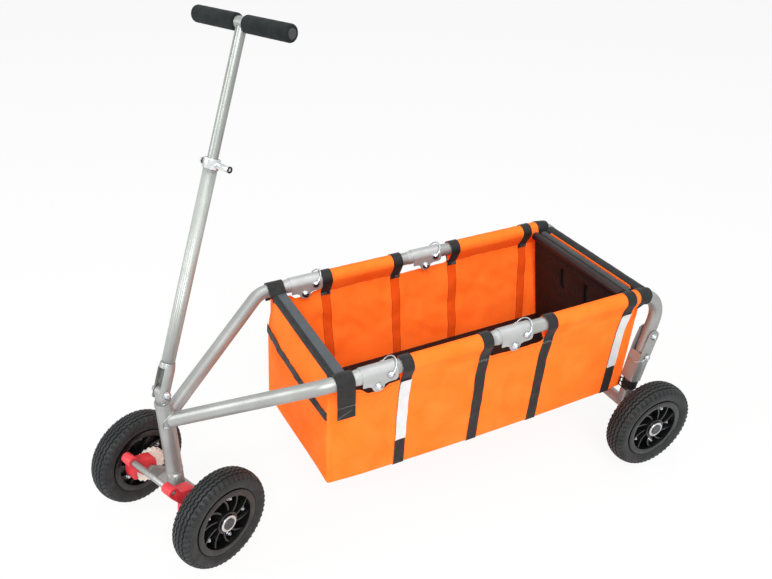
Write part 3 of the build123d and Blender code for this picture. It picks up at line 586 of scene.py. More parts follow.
# Drawn aluminium of the drawbar's inner tube and bar: a tighter gloss.
DRAWBAR_METAL = Finish("satin_aluminium_tube", Slot.SILVER, "#A2A6A2", "#939793", rough=0.34, metallic=0.6,
                       grain_mm=1.2, bump_mm=0.02, mottle_mm=60.0)
# Its outer tube, anodised and paler.
OUTER_METAL = Finish("anodised_aluminium_tube", Slot.SILVER, "#BCC0BC", "#ADB1AD", rough=0.36, metallic=0.55,
                     grain_mm=1.2, bump_mm=0.02, mottle_mm=60.0)
# Zinc plate on pressed steel: small crystals, a bluish cast and a hard gloss.
ZINC = Finish("bright_zinc_plate", Slot.ZINC, "#D3D7DB", "#AEB4BA", rough=0.28, metallic=1.0, grain_mm=2.0,
              bump_mm=0.03, mottle_mm=6.0)
# Polished die-cast collar: near white where it mirrors the studio.
POLISHED = Finish("polished_die_cast_collar", Slot.PALE, "#E4E6E6", "#CBCFCF", rough=0.2, metallic=0.85, grain_mm=1.5,
                  bump_mm=0.02, mottle_mm=12.0)
# Ground steel of the bearings' rings.
BEARING = Finish("ground_bearing_steel", Slot.BEARING, "#DCDDDD", "#BFC1C2", rough=0.2, metallic=1.0, grain_mm=1.0,
                 bump_mm=0.01, mottle_mm=8.0)
# Polyester oxford cloth, its weave drawn coarser than the real 0.6 mm so that it shows.
# Its glow is painted light: a dark red emission over the whole cloth, so that its shaded parts stay a deep, bright red.
ORANGE = WovenCloth("orange_oxford_polyester", Slot.FABRIC, "#FF8430", "#FA7521", rough=0.82, bump_mm=1.0,
                    mottle_mm=70.0, spec=0.12, glow="#8A1200")
# The same cloth, darker and redder, on strips inside the walls behind the straps: painted shade where the straps lie on
# the other side, with a weaker painted glow.
ORANGE_STRAP_SHADE = WovenCloth("orange_oxford_doubled", Slot.FABRIC, "#EC5C16", "#DB4F0F", rough=0.82, bump_mm=0.6,
                            mottle_mm=30.0, spec=0.12, glow="#5A0C00")
# Polypropylene webbing: ribbed, with a dull sheen.
WEBBING = RibbedWebbing("black_polypropylene_webbing", Slot.WEBBING, "#1D1C1D", "#111112", rough=0.66, bump_mm=0.35,
                        mottle_mm=18.0, sheen=0.05, spec=0.3)
# Black oxford cloth of the rear tunnel and caps.
BLACK_CLOTH = WovenCloth("black_oxford_polyester", Slot.WEBBING, "#222324", "#151617", rough=0.7, bump_mm=0.8,
                         mottle_mm=25.0, sheen=0.05, spec=0.3)
# Sewing thread: black on the orange cloth, pale grey on the webbing.
DARK_THREAD = Finish("black_polyester_thread", Slot.WEBBING, "#3A1A12", "#24100B", rough=0.7, grain_mm=0.6,
                     mottle_mm=5.0, sheen=0.1)
PALE_THREAD = Finish("grey_polyester_thread", Slot.WEBBING, "#A9A7A6", "#838180", rough=0.7, grain_mm=0.6,
                     mottle_mm=5.0, sheen=0.1)
# Reflecting tape: white glass beads under a clear film.
REFLECTOR = CellSurface("white_reflecting_tape", Slot.WEBBING, "#DDDFE1", "#CFD1D3", rough=0.35, mottle_mm=20.0,
                        coat=0.3)
# Extruded twin-wall board with fine lines along it.
BOARD = RibbedSheet("maroon_extruded_board", Slot.BOARD, "#290C0A", "#180605", bump_mm=0.3, mottle_mm=80.0, spec=0.35)
# Grey extruded edging of the front board, and the black foam roll behind the rear board.
EDGING = Finish("grey_extruded_edging", Slot.BOARD, "#495156", "#3B4247", rough=0.42, grain_mm=2.0, bump_mm=0.03,
                mottle_mm=60.0)
ROLL = Finish("black_rubber_edging", Slot.BOARD, "#3A3D3F", "#2C2F31", rough=0.45, grain_mm=2.0, bump_mm=0.04)
# Foam grips: matt, with open pits.
FOAM = CellSurface("black_foam_rubber", Slot.GRIP, "#161C1E", "#0E1213", rough=0.9, bump_mm=0.35, mottle_mm=20.0,
                   sheen=0.03, spec=0.25)
# Glass-filled nylon of the brake levers: a fine moulded grain.
RED = Finish("red_moulded_nylon", Slot.RED, "#DE3B43", "#CB2F37", rough=0.42, grain_mm=0.8, bump_mm=0.03,
             mottle_mm=25.0)
# Natural nylon of the ratchet discs: slightly waxy.
IVORY = Finish("ivory_moulded_nylon", Slot.IVORY, "#F5F0E6", "#E8E2D5", rough=0.45, grain_mm=0.8, bump_mm=0.02,
               mottle_mm=15.0)
# Tyre rubber: dull black that greys where it is dusty.
RUBBER = Finish("black_tyre_rubber", Slot.TYRE, "#222425", "#151718", rough=0.64, grain_mm=1.0, bump_mm=0.06,
                mottle_mm=22.0, sheen=0.04, spec=0.4)
# Rim polypropylene: deep black with a moulded gloss.
RIM = Finish("black_moulded_polypropylene", Slot.RIM, "#101011", "#070708", rough=0.26, grain_mm=0.9, bump_mm=0.02,
             mottle_mm=25.0)
# Dust cap of the bearing: dark grey plastic.
CAP = Finish("dark_grey_plastic_cap", Slot.RIM, "#3F4043", "#303134", rough=0.45, grain_mm=0.8, bump_mm=0.02,
             mottle_mm=10.0)


def placed(name: str, data: bpy.types.ID) -> Thing:
    """A new object in the scene.

    Args:
        name: its name.
        data: its mesh, lamp or camera.
    Returns:
        The object.
    """
    thing = bpy.data.objects.new(name, data)
    bpy.context.scene.collection.objects.link(thing)
    return thing


# ---------------------------------------------------------------- geometry nodes


class Recipe:
    """A Geometry Nodes tree with named inputs, run on a starting mesh."""

    name = "recipe"
    inputs: dict[str, str] = {}

    def wire(self, tree: Tree, given: Sockets) -> Socket:
        """The recipe's own nodes.

        Args:
            tree: tree to fill.
            given: outputs of the group input.
        Returns:
            The geometry made.
        """
        raise NotImplementedError

    def tree(self) -> Tree:
        """The tree, made once; it ends by making instances real and setting the material.

        Returns:
            The node tree.
        """
        found = bpy.data.node_groups.get(self.name)
        if found:
            return found
        made = bpy.data.node_groups.new(self.name, "GeometryNodeTree")
        made.interface.new_socket("Geometry", in_out="INPUT", socket_type="NodeSocketGeometry")
        for label, kind in {**self.inputs, "Material": "NodeSocketMaterial"}.items():
            made.interface.new_socket(label, in_out="INPUT", socket_type=kind)
        made.interface.new_socket("Geometry", in_out="OUTPUT", socket_type="NodeSocketGeometry")
        given = add(made, "NodeGroupInput").outputs
        real = add(made, "GeometryNodeRealizeInstances", {0: self.wire(made, given)})
        dyed = add(made, "GeometryNodeSetMaterial", {0: real.outputs[0], "Material": given["Material"]})
        add(made, "NodeGroupOutput", {0: dyed.outputs[0]})
        return made

    def run(self, start: Mesh, finish: Finish, **values) -> Mesh:
        """Run the tree and keep its result as a plain mesh.

        Args:
            start: mesh that the tree starts from.
            finish: finish of what it makes.
            values: the named inputs.
        Returns:
            The plain mesh.
        """
        values = {**values, "Material": finish.material()}
        thing = placed(self.name, start)
        modifier = thing.modifiers.new(self.name, "NODES")
        modifier.node_group = self.tree()
        for item in modifier.node_group.interface.items_tree:
            if item.in_out == "INPUT" and item.name in values:
                modifier[item.identifier] = values[item.name]
        ready = thing.evaluated_get(bpy.context.evaluated_depsgraph_get())
        mesh = bpy.data.meshes.new_from_object(ready)
        thing.modifiers.remove(modifier)
        bpy.data.objects.remove(thing)
        bpy.data.meshes.remove(start)
        return mesh


class StitchRow(Recipe):
    """Short threads laid end to end along lines."""

    name = "stitch_row"
    inputs = {"Pitch": "NodeSocketFloat", "Length": "NodeSocketFloat", "Thread": "NodeSocketFloat"}

    def wire(self, tree: Tree, given: Sockets) -> Socket:
        """Lines to points, and a thread on each.

        Args:
            tree: tree to fill.
            given: outputs of the group input.
        Returns:
            The threads.
        """
        line = add(tree, "GeometryNodeMeshToCurve", {0: given["Geometry"]})
        spots = add(tree, "GeometryNodeCurveToPoints", {0: line.outputs[0], "Length": given["Pitch"]}, mode="LENGTH")
        turn = add(tree, "FunctionNodeAlignRotationToVector", {"Vector": spots.outputs["Tangent"]}, axis="Z")
        thread = add(tree, "GeometryNodeMeshCylinder",
                     {"Vertices": 6, "Radius": given["Thread"], "Depth": given["Length"]})
        laid = add(tree, "GeometryNodeInstanceOnPoints",
                   {"Points": spots.outputs[0], "Instance": thread.outputs[0], "Rotation": turn.outputs[0]})
        return laid.outputs[0]


class RodRow(Recipe):
    """Round rods along lines, such as ribs and piping."""

    name = "rod_row"
    inputs = {"Radius": "NodeSocketFloat"}

    def wire(self, tree: Tree, given: Sockets) -> Socket:
        """Lines to curves, and a round section along each.

        Args:
            tree: tree to fill.
            given: outputs of the group input.
        Returns:
            The rods.
        """
        line = add(tree, "GeometryNodeMeshToCurve", {0: given["Geometry"]})
        ring = add(tree, "GeometryNodeCurvePrimitiveCircle", {"Resolution": 8, "Radius": given["Radius"]})
        rod = add(tree, "GeometryNodeCurveToMesh", {0: line.outputs[0], 1: ring.outputs[0], "Fill Caps": True})
        return rod.outputs[0]


class PartRing(Recipe):
    """Copies of the starting mesh set round the Z axis, each turned outward."""

    name = "part_ring"
    inputs = {"Count": "NodeSocketInt", "Radius": "NodeSocketFloat"}

    def wire(self, tree: Tree, given: Sockets) -> Socket:
        """A circle of points with the part on each.

        Args:
            tree: tree to fill.
            given: outputs of the group input.
        Returns:
            The ring of parts.
        """
        circle = add(tree, "GeometryNodeMeshCircle", {"Vertices": given["Count"], "Radius": given["Radius"]})
        spot = add(tree, "GeometryNodeInputPosition")
        turn = add(tree, "FunctionNodeAlignRotationToVector", {"Vector": spot.outputs[0]}, axis="X", pivot_axis="Z")
        laid = add(tree, "GeometryNodeInstanceOnPoints",
                   {"Points": circle.outputs[0], "Instance": given["Geometry"], "Rotation": turn.outputs[0]})
        return laid.outputs[0]


def line_mesh(lines: Sequence) -> Mesh:
    """Lines of points as a mesh of edges.

    Args:
        lines: each a row of points in millimetres.
    Returns:
        The mesh.
    """
    points, edges, start = [], [], 0
    for line in lines:
        points.append(np.asarray(line, float))
        edges += [(start + i, start + i + 1) for i in range(len(line) - 1)]
        start += len(line)
    return mesh_of("lines", np.concatenate(points), [], edges)


def stitched(lines: Sequence, finish: Finish, pitch: float = 4.2, length: float = 3.0, thread: float = 0.42) -> Mesh:
    """Threads along lines, with their sizes in millimetres."""
    return StitchRow().run(line_mesh(lines), finish, Pitch=pitch * MM, Length=length * MM, Thread=thread * MM)


def rods(lines: Sequence, finish: Finish, radius: float) -> Mesh:
    """Round rods along lines, with their radius in millimetres."""
    return RodRow().run(line_mesh(lines), finish, Radius=radius * MM)


# ---------------------------------------------------------------- pieces


def piece(name: str, mesh: Mesh, finish: Finish, body: str, nodes: Sequence[str] = (),
          sharp_deg: float = 40.0) -> Thing:
    """Put a mesh in the scene as a finished piece that rides on a body.

    Args:
        name: name of the piece.
        mesh: its mesh, in place.
        finish: its finish, used where the mesh has no material yet.
        body: body that it rides on.
        nodes: CAD nodes that it stands for.
        sharp_deg: edges sharper than this stay sharp.
    Returns:
        The piece.
    """
    mesh.name = name
    if not mesh.materials:
        mesh.materials.append(finish.material())
    mesh.shade_smooth()
    mesh.set_sharp_from_angle(angle=radians(sharp_deg))
    thing = placed(name, mesh)
    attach(thing, body)
    if nodes:
        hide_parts(*nodes)
    log.info("%s on %s, %d faces", name, body, len(mesh.polygons))
    return thing


def crumple(thing: Thing) -> Thing:
    """Give a soft piece its own copy of its mesh."""
    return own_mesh(thing)


def dressed(node: str, finish: Finish, bevel_mm: float = 0.0) -> Thing:
    """A merged and smoothed copy of a rigid CAD node in its real finish.

    Args:
        node: node that the copy stands for.
        finish: its finish.
        bevel_mm: width of a rounded edge, 0 for none.
    Returns:
        The piece.
    """
    source = frame["nodes"][node]
    mesh = source.data.copy()
    mesh.materials.clear()
    while mesh.uv_layers:
        mesh.uv_layers.remove(mesh.uv_layers[0])
    work = bmesh.new()
    work.from_mesh(mesh)
    bmesh.ops.remove_doubles(work, verts=work.verts, dist=0.005 * MM)
    if bevel_mm:
        bmesh.ops.dissolve_limit(work, angle_limit=radians(1.0), verts=work.verts, edges=work.edges)
        hard = [e for e in work.edges if len(e.link_faces) == 2 and e.calc_face_angle() > radians(NODE_SHARP_DEG)]
        bmesh.ops.bevel(work, geom=hard, offset=bevel_mm * MM, offset_type="OFFSET", segments=2, profile=0.5,
                        affect="EDGES", clamp_overlap=True)
    work.to_mesh(mesh)
    work.free()
    if mesh.has_custom_normals:
        mesh.normals_split_custom_set([(0.0, 0.0, 0.0)] * len(mesh.loops))
    return piece(node + "_dressed", mesh, finish, source["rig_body"], (node,), NODE_SHARP_DEG)


# ---------------------------------------------------------------- metal frame


@dataclass
class JointSleeves:
    """Cast sleeves of the rail hinges: an inverted trough with a round ear for the bolt, and a stepped neck."""

    node: str
    bolt_x: float
    outer: float = 16.8
    inner: float = 12.9
    behind: float = 40.0
    ahead: float = 30.0
    depth: float = 15.6
    ear_r: float = 12.3
    corner: float = 8.0
    trim: float = 0.6
    lip: float = 0.5
    neck: Pairs = (
        (12.7, 29.0), (14.9, 29.0), (14.9, 37.0), (14.2, 38.0), (13.9, 44.0), (13.3, 45.0), (12.7, 45.0),
    )

    def low(self, u: float) -> float:
        """Lower edge of the cheeks, below the rail's middle.

        Args:
            u: place along the rail, ahead of the bolt.
        Returns:
            The height in millimetres, negative.
        """
        edge = -self.depth
        back = self.corner - (u + self.behind)
        if back > 0:
            edge += self.corner - sqrt(max(0.0, self.corner**2 - back**2))
        if abs(u) < self.ear_r:
            edge = min(edge, CART.hinge_z - CART.rail_z - sqrt(self.ear_r**2 - u * u))
        return edge

    def stations(self) -> list[float]:
        """Places of the trough's sections, close together where its edge curves.

        Returns:
            Distances along the rail, ahead of the bolt.
        """
        tail = {-self.behind + step for step in (0, 0.3, 1, 2, 3.5, 5.5, 8)}
        ear = {self.ear_r * sin(a) for a in spread(1.5707, 23)}
        return sorted(tail | ear | {-20.0, 20.0, self.ahead - self.trim, self.ahead})

    def trough(self, side: int) -> Mesh:
        """The trough with its ear.

        Args:
            side: sign of the side.
        Returns:
            The mesh.
        """
        stations, points = self.stations(), []
        for i, u in enumerate(stations):
            trim = self.trim if i in (0, len(stations) - 1) else 0.0
            foot, big, small = self.low(u) + self.lip, self.outer - trim, self.inner + trim
            loop = [(big, foot), *arc(big, 0, 180, 21), (-big, foot),
                    (-small, foot), *arc(small, 0, 180, 21)[::-1], (small, foot)]
            points += [(self.bolt_x + u, side * CART.rail_y + o, CART.rail_z + h) for o, h in loop]
        ring = len(loop)
        faces = ring_quads(len(stations), ring)
        for start, flip in ((0, False), ((len(stations) - 1) * ring, True)):
            for j in range(ring // 2 - 1):
                face = (start + j, start + j + 1, start + ring - 2 - j, start + ring - 1 - j)
                faces.append(face[::-1] if flip else face)
        return tidy_mesh(mesh_of("trough", points, faces))

    def build(self) -> None:
        """Both sleeves of the hinge."""
        parts = []
        for side in Side:
            parts.append(self.trough(side))
            middle = Vector((self.bolt_x, side * CART.rail_y, CART.rail_z)) * MM
            place = Matrix.Translation(middle) @ Matrix.Rotation(pi / 2, 4, "Y")
            parts.append(lathe("neck", [*self.neck, self.neck[0]], place, 48))
        body = frame["nodes"][self.node]["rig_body"]
        piece(self.node + "_cast", joined("sleeves", parts), CAST, body, (self.node,), 28.0)


@dataclass
class FrameMetal:
    """Rails, arms, sleeves, legs, head and their bolts and lock pins."""

    tubes: tuple[str, ...] = (
        "mid_rails", "rear_rail_left", "rear_rail_right", "front_arm_left", "front_arm_right", "head_tube",
        "rear_cross_tube", "lower_legs", "rear_axle_tube", "steerer_stem",
    )
    pressings: tuple[str, ...] = ("leg_channels", "front_axle_beam", "head_bushes")
    fasteners: tuple[str, ...] = (
        "mid_pivot_bolts", "front_pivot_bolts", "leg_pivot_bolts", "mid_lock_pins", "front_lock_pins",
        "rear_axle_shaft", "front_axle_shaft",
    )
    leg_pin_at: tuple[float, float] = (-537.3, 226.5)
    pin_profile: Pairs = (
        (0.0, -24.3), (3.4, -24.3), (4.0, -23.6), (4.0, 17.6), (6.2, 17.6), (6.8, 18.4), (6.8, 22.0), (5.2, 24.2),
        (0.0, 24.2),
    )
    wire_r: float = 1.1
    wire_half: float = 22.0
    wire_reach: float = 27.0
    wire_slope: float = 0.44
    head_r: float = 16.0
    arm_r: float = 14.0
    arm_tip: Spot = (451.0, 9.5, 270.0)
    arm_bend: Spot = (208.0, CART.rail_y, CART.rail_z)
    bead_r: float = 2.1
    bead_ripple: float = 0.5

    def build(self) -> None:
        """Dress each node in its metal."""
        for node in self.tubes:
            dressed(node, SILVER)
        for node in self.pressings:
            dressed(node, SILVER, bevel_mm=0.5)
        for node in self.fasteners:
            dressed(node, ZINC)
        JointSleeves("front_sleeves", CART.front_hinge_x).build()
        JointSleeves("mid_sleeves", CART.rear_hinge_x).build()
        pins = [mesh for side in Side for mesh in self.leg_pin(side)]
        piece("leg_pins_wired", joined("pins", pins), ZINC, Body.LEGS.value, ("leg_lock_pins",))
        beads = [self.weld(side) for side in Side]
        piece("arm_weld_beads", joined("beads", beads), SILVER, Body.FRONT.value)

    def leg_pin(self, side: int) -> list[Mesh]:
        """Lock pin of a leg, with a wire that passes round the channel's front.

        Args:
            side: sign of the side.
        Returns:
            The pin's mesh and the wire's mesh.
        """
        x, z = self.leg_pin_at
        middle = Vector((x, side * CART.rail_y, z)) * MM
        place = Matrix.Translation(middle) @ Matrix.Rotation(-side * pi / 2, 4, "X")
        path = []
        for t in np.linspace(0, pi, 33):
            reach = self.wire_reach * sin(t) ** 0.8
            across = side * (CART.rail_y + self.wire_half * cos(t))
            path.append((x + reach * cos(self.wire_slope), across, z - reach * sin(self.wire_slope)))
        return [lathe("pin", self.pin_profile, place, 20), tube_mesh("wire", path, self.wire_r, 8)]

    def weld(self, side: int) -> Mesh:
        """Weld bead where an arm meets the head tube.

        Args:
            side: sign of the side.
        Returns:
            The bead's mesh.
        """
        tip, bend = np.array(self.arm_tip) * (1, side, 1), np.array(self.arm_bend) * (1, side, 1)
        way = (bend - tip) / np.linalg.norm(bend - tip)
        level = np.cross(way, (0.0, 0.0, 1.0))
        level /= np.linalg.norm(level)
        other = np.cross(level, way)
        head, flat, path = np.array((CART.front_axle_x, 0, 0)), way[:2], []
        for i, a in enumerate(np.linspace(0, 2 * pi, 49)):
            start = tip + self.arm_r * (cos(a) * level + sin(a) * other) - head
            q, half = flat @ flat, start[:2] @ flat
            run = (-half + sqrt(max(0.0, half * half - q * (start[:2] @ start[:2] - self.head_r**2)))) / q
            path.append(start + head + way * (run + self.bead_ripple * sin(2.1 * i)))
        return tube_mesh("bead", path, self.bead_r)


@dataclass
class DrawbarSet:
    """Fork, telescopic tubes, clamp, cross bar and foam grips."""

    lean_deg: float = 23.2
    pivot_z: float = 331.0
    bar_up: float = 665.5
    bar_r: float = 11.0
    grip_r: float = 15.0
    grip_half: float = 117.5
    grip_gap: float = 10.0
    grip_round: float = 4.5
    grip_swell: float = 0.12
    clamp_up: float = 428.0
    knob_r: float = 5.5
    knob_ribs: int = 16
    rib_r: float = 0.6
    rib_span: tuple[float, float] = (20.0, 44.0)

    def place(self, up: float, side: int) -> Matrix:
        """Frame with its Z along the cross bar, outward on one side.

        Args:
            up: distance along the drawbar from the pivot in millimetres.
            side: sign of the side.
        Returns:
            The frame in metres.
        """
        steer, lean = radians(CART.steer_deg), radians(self.lean_deg)
        ahead = Vector((cos(steer), sin(steer), 0))
        across = Vector((-sin(steer), cos(steer), 0)) * side
        axis = Vector((0, 0, cos(lean))) - ahead * sin(lean)
        made = Matrix((axis.cross(across), axis, across)).transposed().to_4x4()
        made.translation = (Vector((CART.front_axle_x, 0, self.pivot_z)) + axis * up) * MM
        return made

    def grip(self, side: Side) -> None:
        """One foam grip: rounded ends, a slight swell and a shallow end recess with a plug.

        Args:
            side: side of the bar.
        """
        r, low, high, soft = self.grip_r, self.grip_gap, self.grip_half, self.grip_round
        quarter, place = np.linspace(0, pi / 2, 7), self.place(self.bar_up, side)
        profile = [(self.bar_r + 0.3, low + 1.5)]
        profile += [(r - soft + soft * sin(a), low + soft - soft * cos(a)) for a in quarter]
        for t in np.linspace(0.04, 0.96, 20):
            h = low + soft + (high - low - 2 * soft) * t
            profile.append((r + self.grip_swell * wave(h / 9, side * 3.0, 4.0), h))
        profile += [(r - soft + soft * cos(a), high - soft + soft * sin(a)) for a in quarter]
        profile += [(9.6, high), (9.2, high - 0.8), (0.0, high - 0.8)]
        mesh = lathe("grip", profile, place, 48)
        made = piece(f"foam_grip_{side.label}", mesh, FOAM, Body.HANDLE.value, ("handle_grips",))
        plug = [(0.0, high - 0.7), (8.9, high - 0.7), (8.9, high - 0.1), (8.3, high + 0.1), (0.0, high + 0.1)]
        piece(f"grip_plug_{side.label}", lathe("plug", plug, place, 32), CAP, Body.HANDLE.value)

    def knob(self) -> None:
        """Clamp screw with a ribbed barrel and a black ring in its end, and the washer on the collar's other side."""
        r, place = self.knob_r, self.place(self.clamp_up, Side.LEFT)
        barrel = lathe("barrel", [(0.0, 12.4), (4.0, 12.4), (4.0, 17.4), (r - 0.3, 17.4), (r, 18.0), (r, 45.6),
                                  (r - 0.3, 46.4), (2.8, 46.4), (2.6, 46.9), (0.0, 46.9)], place, 32)
        turns = np.linspace(0, 2 * pi, self.knob_ribs, endpoint=False)
        lines = [[(r * cos(a), r * sin(a), h) for h in self.rib_span] for a in turns]
        ribs = rods(lines, POLISHED, self.rib_r)
        ribs.transform(place)
        piece("clamp_knob", joined("knob", [ribs, barrel]), POLISHED, Body.CLAMP.value, ("clamp_screw",))
        ring = lathe("ring", [(2.9, 46.3), (5.5, 46.3), (5.9, 46.6), (5.9, 47.6), (5.3, 48.0), (3.2, 48.0),
                              (2.9, 47.7), (2.9, 46.3)], place, 32)
        piece("clamp_knob_ring", ring, RIM, Body.CLAMP.value)
        washer = lathe("washer", [(5.4, -20.0), (6.8, -20.0), (7.1, -19.7), (7.1, -17.9), (6.8, -17.6), (5.4, -17.6),
                                  (5.4, -20.0)], place, 32)
        piece("clamp_washer", washer, RIM, Body.DRAWBAR.value)

    def build(self) -> None:
        """Dress the metal and make the knob and the grips."""
        dressed("drawbar_outer_tube", OUTER_METAL)
        for node in ("drawbar_inner_tube", "handle_bar"):
            dressed(node, DRAWBAR_METAL)
        dressed("drawbar_fork", SILVER, bevel_mm=0.5)
        dressed("drawbar_pivot_bolt", ZINC)
        dressed("clamp_collar", POLISHED, bevel_mm=0.4)
        self.knob()
        dressed("drawbar_bush", CAP)
        for side in Side:
            self.grip(side)


@dataclass
class BrakeSet:
    """Red levers, their rod and the ivory ratchet discs."""

    def build(self) -> None:
        """Dress each node in its plastic or metal."""
        dressed("brake_levers", RED, bevel_mm=1.2)
        dressed("brake_rod", SILVER)
        for name in ("front_left", "front_right"):
            dressed("ratchet_" + name, IVORY, bevel_mm=0.5)


# ---------------------------------------------------------------- wheels


@dataclass
class Wheel:
    """One wheel: treaded tyre, rim with spokes and bolts, bearing ring and cap."""

    name: str
    side: Side
    steered: bool
    front_half: float = 129.5
    rear_half: float = 257.5
    tyre_r: float = 100.0
    shoulder_r: float = 95.0
    tread_half: float = 20.0
    wall_half: float = 25.0
    wide_r: float = 84.5
    bead_r: float = 68.5
    bead_half: float = 18.0
    seat_r: float = 61.4
    groove_at: tuple[float, ...] = (4.3, 12.4)
    groove_w: float = 3.2
    groove_deep: float = 4.4
    sway: float = 1.25
    notch: float = 2.9
    notch_from_r: float = 89.5
    waves: int = 50
    steps: int = 6
    lug: Spot = (4.2, 4.6, 2.0)
    lug_taper: float = 0.8
    lug_tilt: float = 0.42
    lug_ring_r: float = 90.6
    lug_lateral: float = 23.4
    hub_r: float = 17.5
    bolt_ring_r: float = 45.0
    bolt_count: int = 5
    bolt_turn: float = 29.0
    bolt_stand: float = 7.0

    @property
    def body(self) -> str:
        """Body that the wheel's pieces ride on."""
        return "wheel_" + self.name

    def place(self) -> Matrix:
        """Frame of the wheel: Z outward along the axle, X forward.

        Returns:
            The frame in metres.
        """
        turn = radians(CART.steer_deg) if self.steered else 0.0
        ahead = Vector((cos(turn), sin(turn), 0))
        out = Vector((-sin(turn), cos(turn), 0)) * self.side
        x, half = (CART.front_axle_x, self.front_half) if self.steered else (CART.rear_axle_x, self.rear_half)
        made = Matrix((ahead, out.cross(ahead), out)).transposed().to_4x4()
        made.translation = (Vector((x, 0, CART.axle_z)) + out * half) * MM
        return made

    def crown(self, lateral: float) -> float:
        """Radius of the tread's crown.

        Args:
            lateral: distance from the tread's middle.
        Returns:
            The radius in millimetres.
        """
        rise = self.tyre_r - self.shoulder_r
        bow = (self.tread_half**2 + rise**2) / (2 * rise)
        return self.tyre_r - bow + sqrt(bow**2 - lateral**2)

    def section(self) -> list[tuple[float, float, float, float]]:
        """Half of the tyre's section, from the middle of the tread outward.

        Returns:
            Radius, lateral distance, share of the groove's wave, and share of the shoulder notch.
        """
        points = [(self.crown(0.6), 0.6, 0.6, 0.0)]
        for middle in self.groove_at:
            a, b = middle - self.groove_w / 2, middle + self.groove_w / 2
            floor = self.crown(middle) - self.groove_deep
            points += [(r, h, 1.0, 0.0) for r, h in (
                (self.crown(a - 0.5), a - 0.5), (self.crown(a) - 0.35, a), (floor, a + 0.55),
                (floor, b - 0.55), (self.crown(b) - 0.35, b), (self.crown(b + 0.5), b + 0.5))]
        points += [(self.crown(16.6), 16.6, 0.5, 0.0), (self.crown(17.4), 17.4, 0.3, 1.0),
                   (self.crown(19.2) - 0.2, 19.2, 0.0, 1.0)]
        shoulder, bead = (self.shoulder_r, self.tread_half), (self.bead_r, self.bead_half)
        for r, h in arc_through(shoulder, (self.wide_r, self.wall_half), bead, 22):
            line = 0.9 * exp(-(((r - 73.5) / 0.8) ** 2)) + 0.6 * exp(-(((r - 77.5) / 0.6) ** 2))
            points.append((r, h - line + 0.25, 0.0, smooth((r - self.notch_from_r) / 1.5)))
        inside = self.bead_half - 0.8
        return points + [(self.bead_r - 0.4, inside, 0.0, 0.0), (self.seat_r, inside, 0.0, 0.0)]

    def tyre(self) -> None:
        """Tyre with wavy grooves and notched shoulders."""
        half = self.section()
        profile = [(r, -h, -w, n) for r, h, w, n in half[::-1]] + half
        count, n = self.waves * self.steps, len(profile)
        rows = []
        for i in range(count):
            turn = 2 * pi * i / count
            sway = self.sway * sin(self.waves * turn)
            cut = self.notch if (i % self.steps) < 2 else 0.0
            for r, h, wavy, notched in profile:
                deep = r - cut * notched
                rows.append((deep * cos(turn), deep * sin(turn), h + sway * abs(wavy)))
        faces = []
        for i in range(count):
            k = (i + 1) % count
            faces += [(i * n + j, k * n + j, k * n + (j + 1) % n, i * n + (j + 1) % n) for j in range(n)]
        mesh = tidy_mesh(mesh_of("tyre", rows, faces))
        mesh.transform(self.place())
        piece("treaded_tyre_" + self.name, mesh, RUBBER, self.body, ("tyre_" + self.name,), 35.0)

    def lugs(self) -> None:
        """Small square lugs round both shoulders."""
        rings = []
        for way in (1, -1):
            block = bmesh.new()
            bmesh.ops.create_cube(block, size=1.0)
            for corner in block.verts:
                taper = self.lug_taper if corner.co.z * way > 0 else 1.0
                scale = (self.lug[0] * taper, self.lug[1] * taper, self.lug[2])
                corner.co = [c * size * MM for c, size in zip(corner.co, scale)]
            bmesh.ops.rotate(block, verts=block.verts, matrix=Matrix.Rotation(way * self.lug_tilt, 3, "Y"))
            start = bpy.data.meshes.new("lug")
            block.to_mesh(start)
            block.free()
            ring = PartRing().run(start, RUBBER, Count=self.waves, Radius=self.lug_ring_r * MM)
            ring.transform(Matrix.Translation((0, 0, way * self.lug_lateral * MM)))
            rings.append(ring)
        mesh = joined("lugs", rings)
        mesh.transform(self.place())
        piece("shoulder_lugs_" + self.name, mesh, RUBBER, self.body)

    def bolts(self) -> None:
        """Ring of through bolts that hold the rim's halves: nuts outside on bosses, heads inside."""
        here, stand = Matrix.Identity(4), self.bolt_stand
        turned = self.place() @ Matrix.Rotation(radians(self.bolt_turn), 4, "Z")
        spread = {"Count": self.bolt_count, "Radius": self.bolt_ring_r * MM}
        boss = lathe("boss", [(0.0, -0.4), (7.2, -0.4), (6.6, stand), (0.0, stand)], here, 24)
        stands = PartRing().run(boss, RIM, **spread)
        stands.transform(turned)
        piece("rim_bosses_" + self.name, stands, RIM, self.body)
        rings = []
        for face, way, stud in ((stand, 1.0, 7.4), (-4.0, -1.0, 5.6)):
            washer = [(0.0, -0.3), (5.8, -0.3), (5.8, 1.0), (0.0, 1.0)]
            nut = [(0.0, 0.8), (4.5, 0.8), (4.5, 4.4), (3.8, 5.0), (0.0, 5.0)]
            end = [(0.0, 4.8), (2.4, 4.8), (2.4, stud - 0.4), (2.0, stud), (0.0, stud)]
            parts = [lathe("bolt", [(r, face + way * h) for r, h in profile], here, sides)
                     for profile, sides in ((washer, 20), (nut, 6), (end, 12))]
            rings.append(PartRing().run(joined("bolt", parts), ZINC, **spread))
        mesh = joined("bolts", rings)
        mesh.transform(turned)
        piece("rim_bolts_" + self.name, mesh, ZINC, self.body)

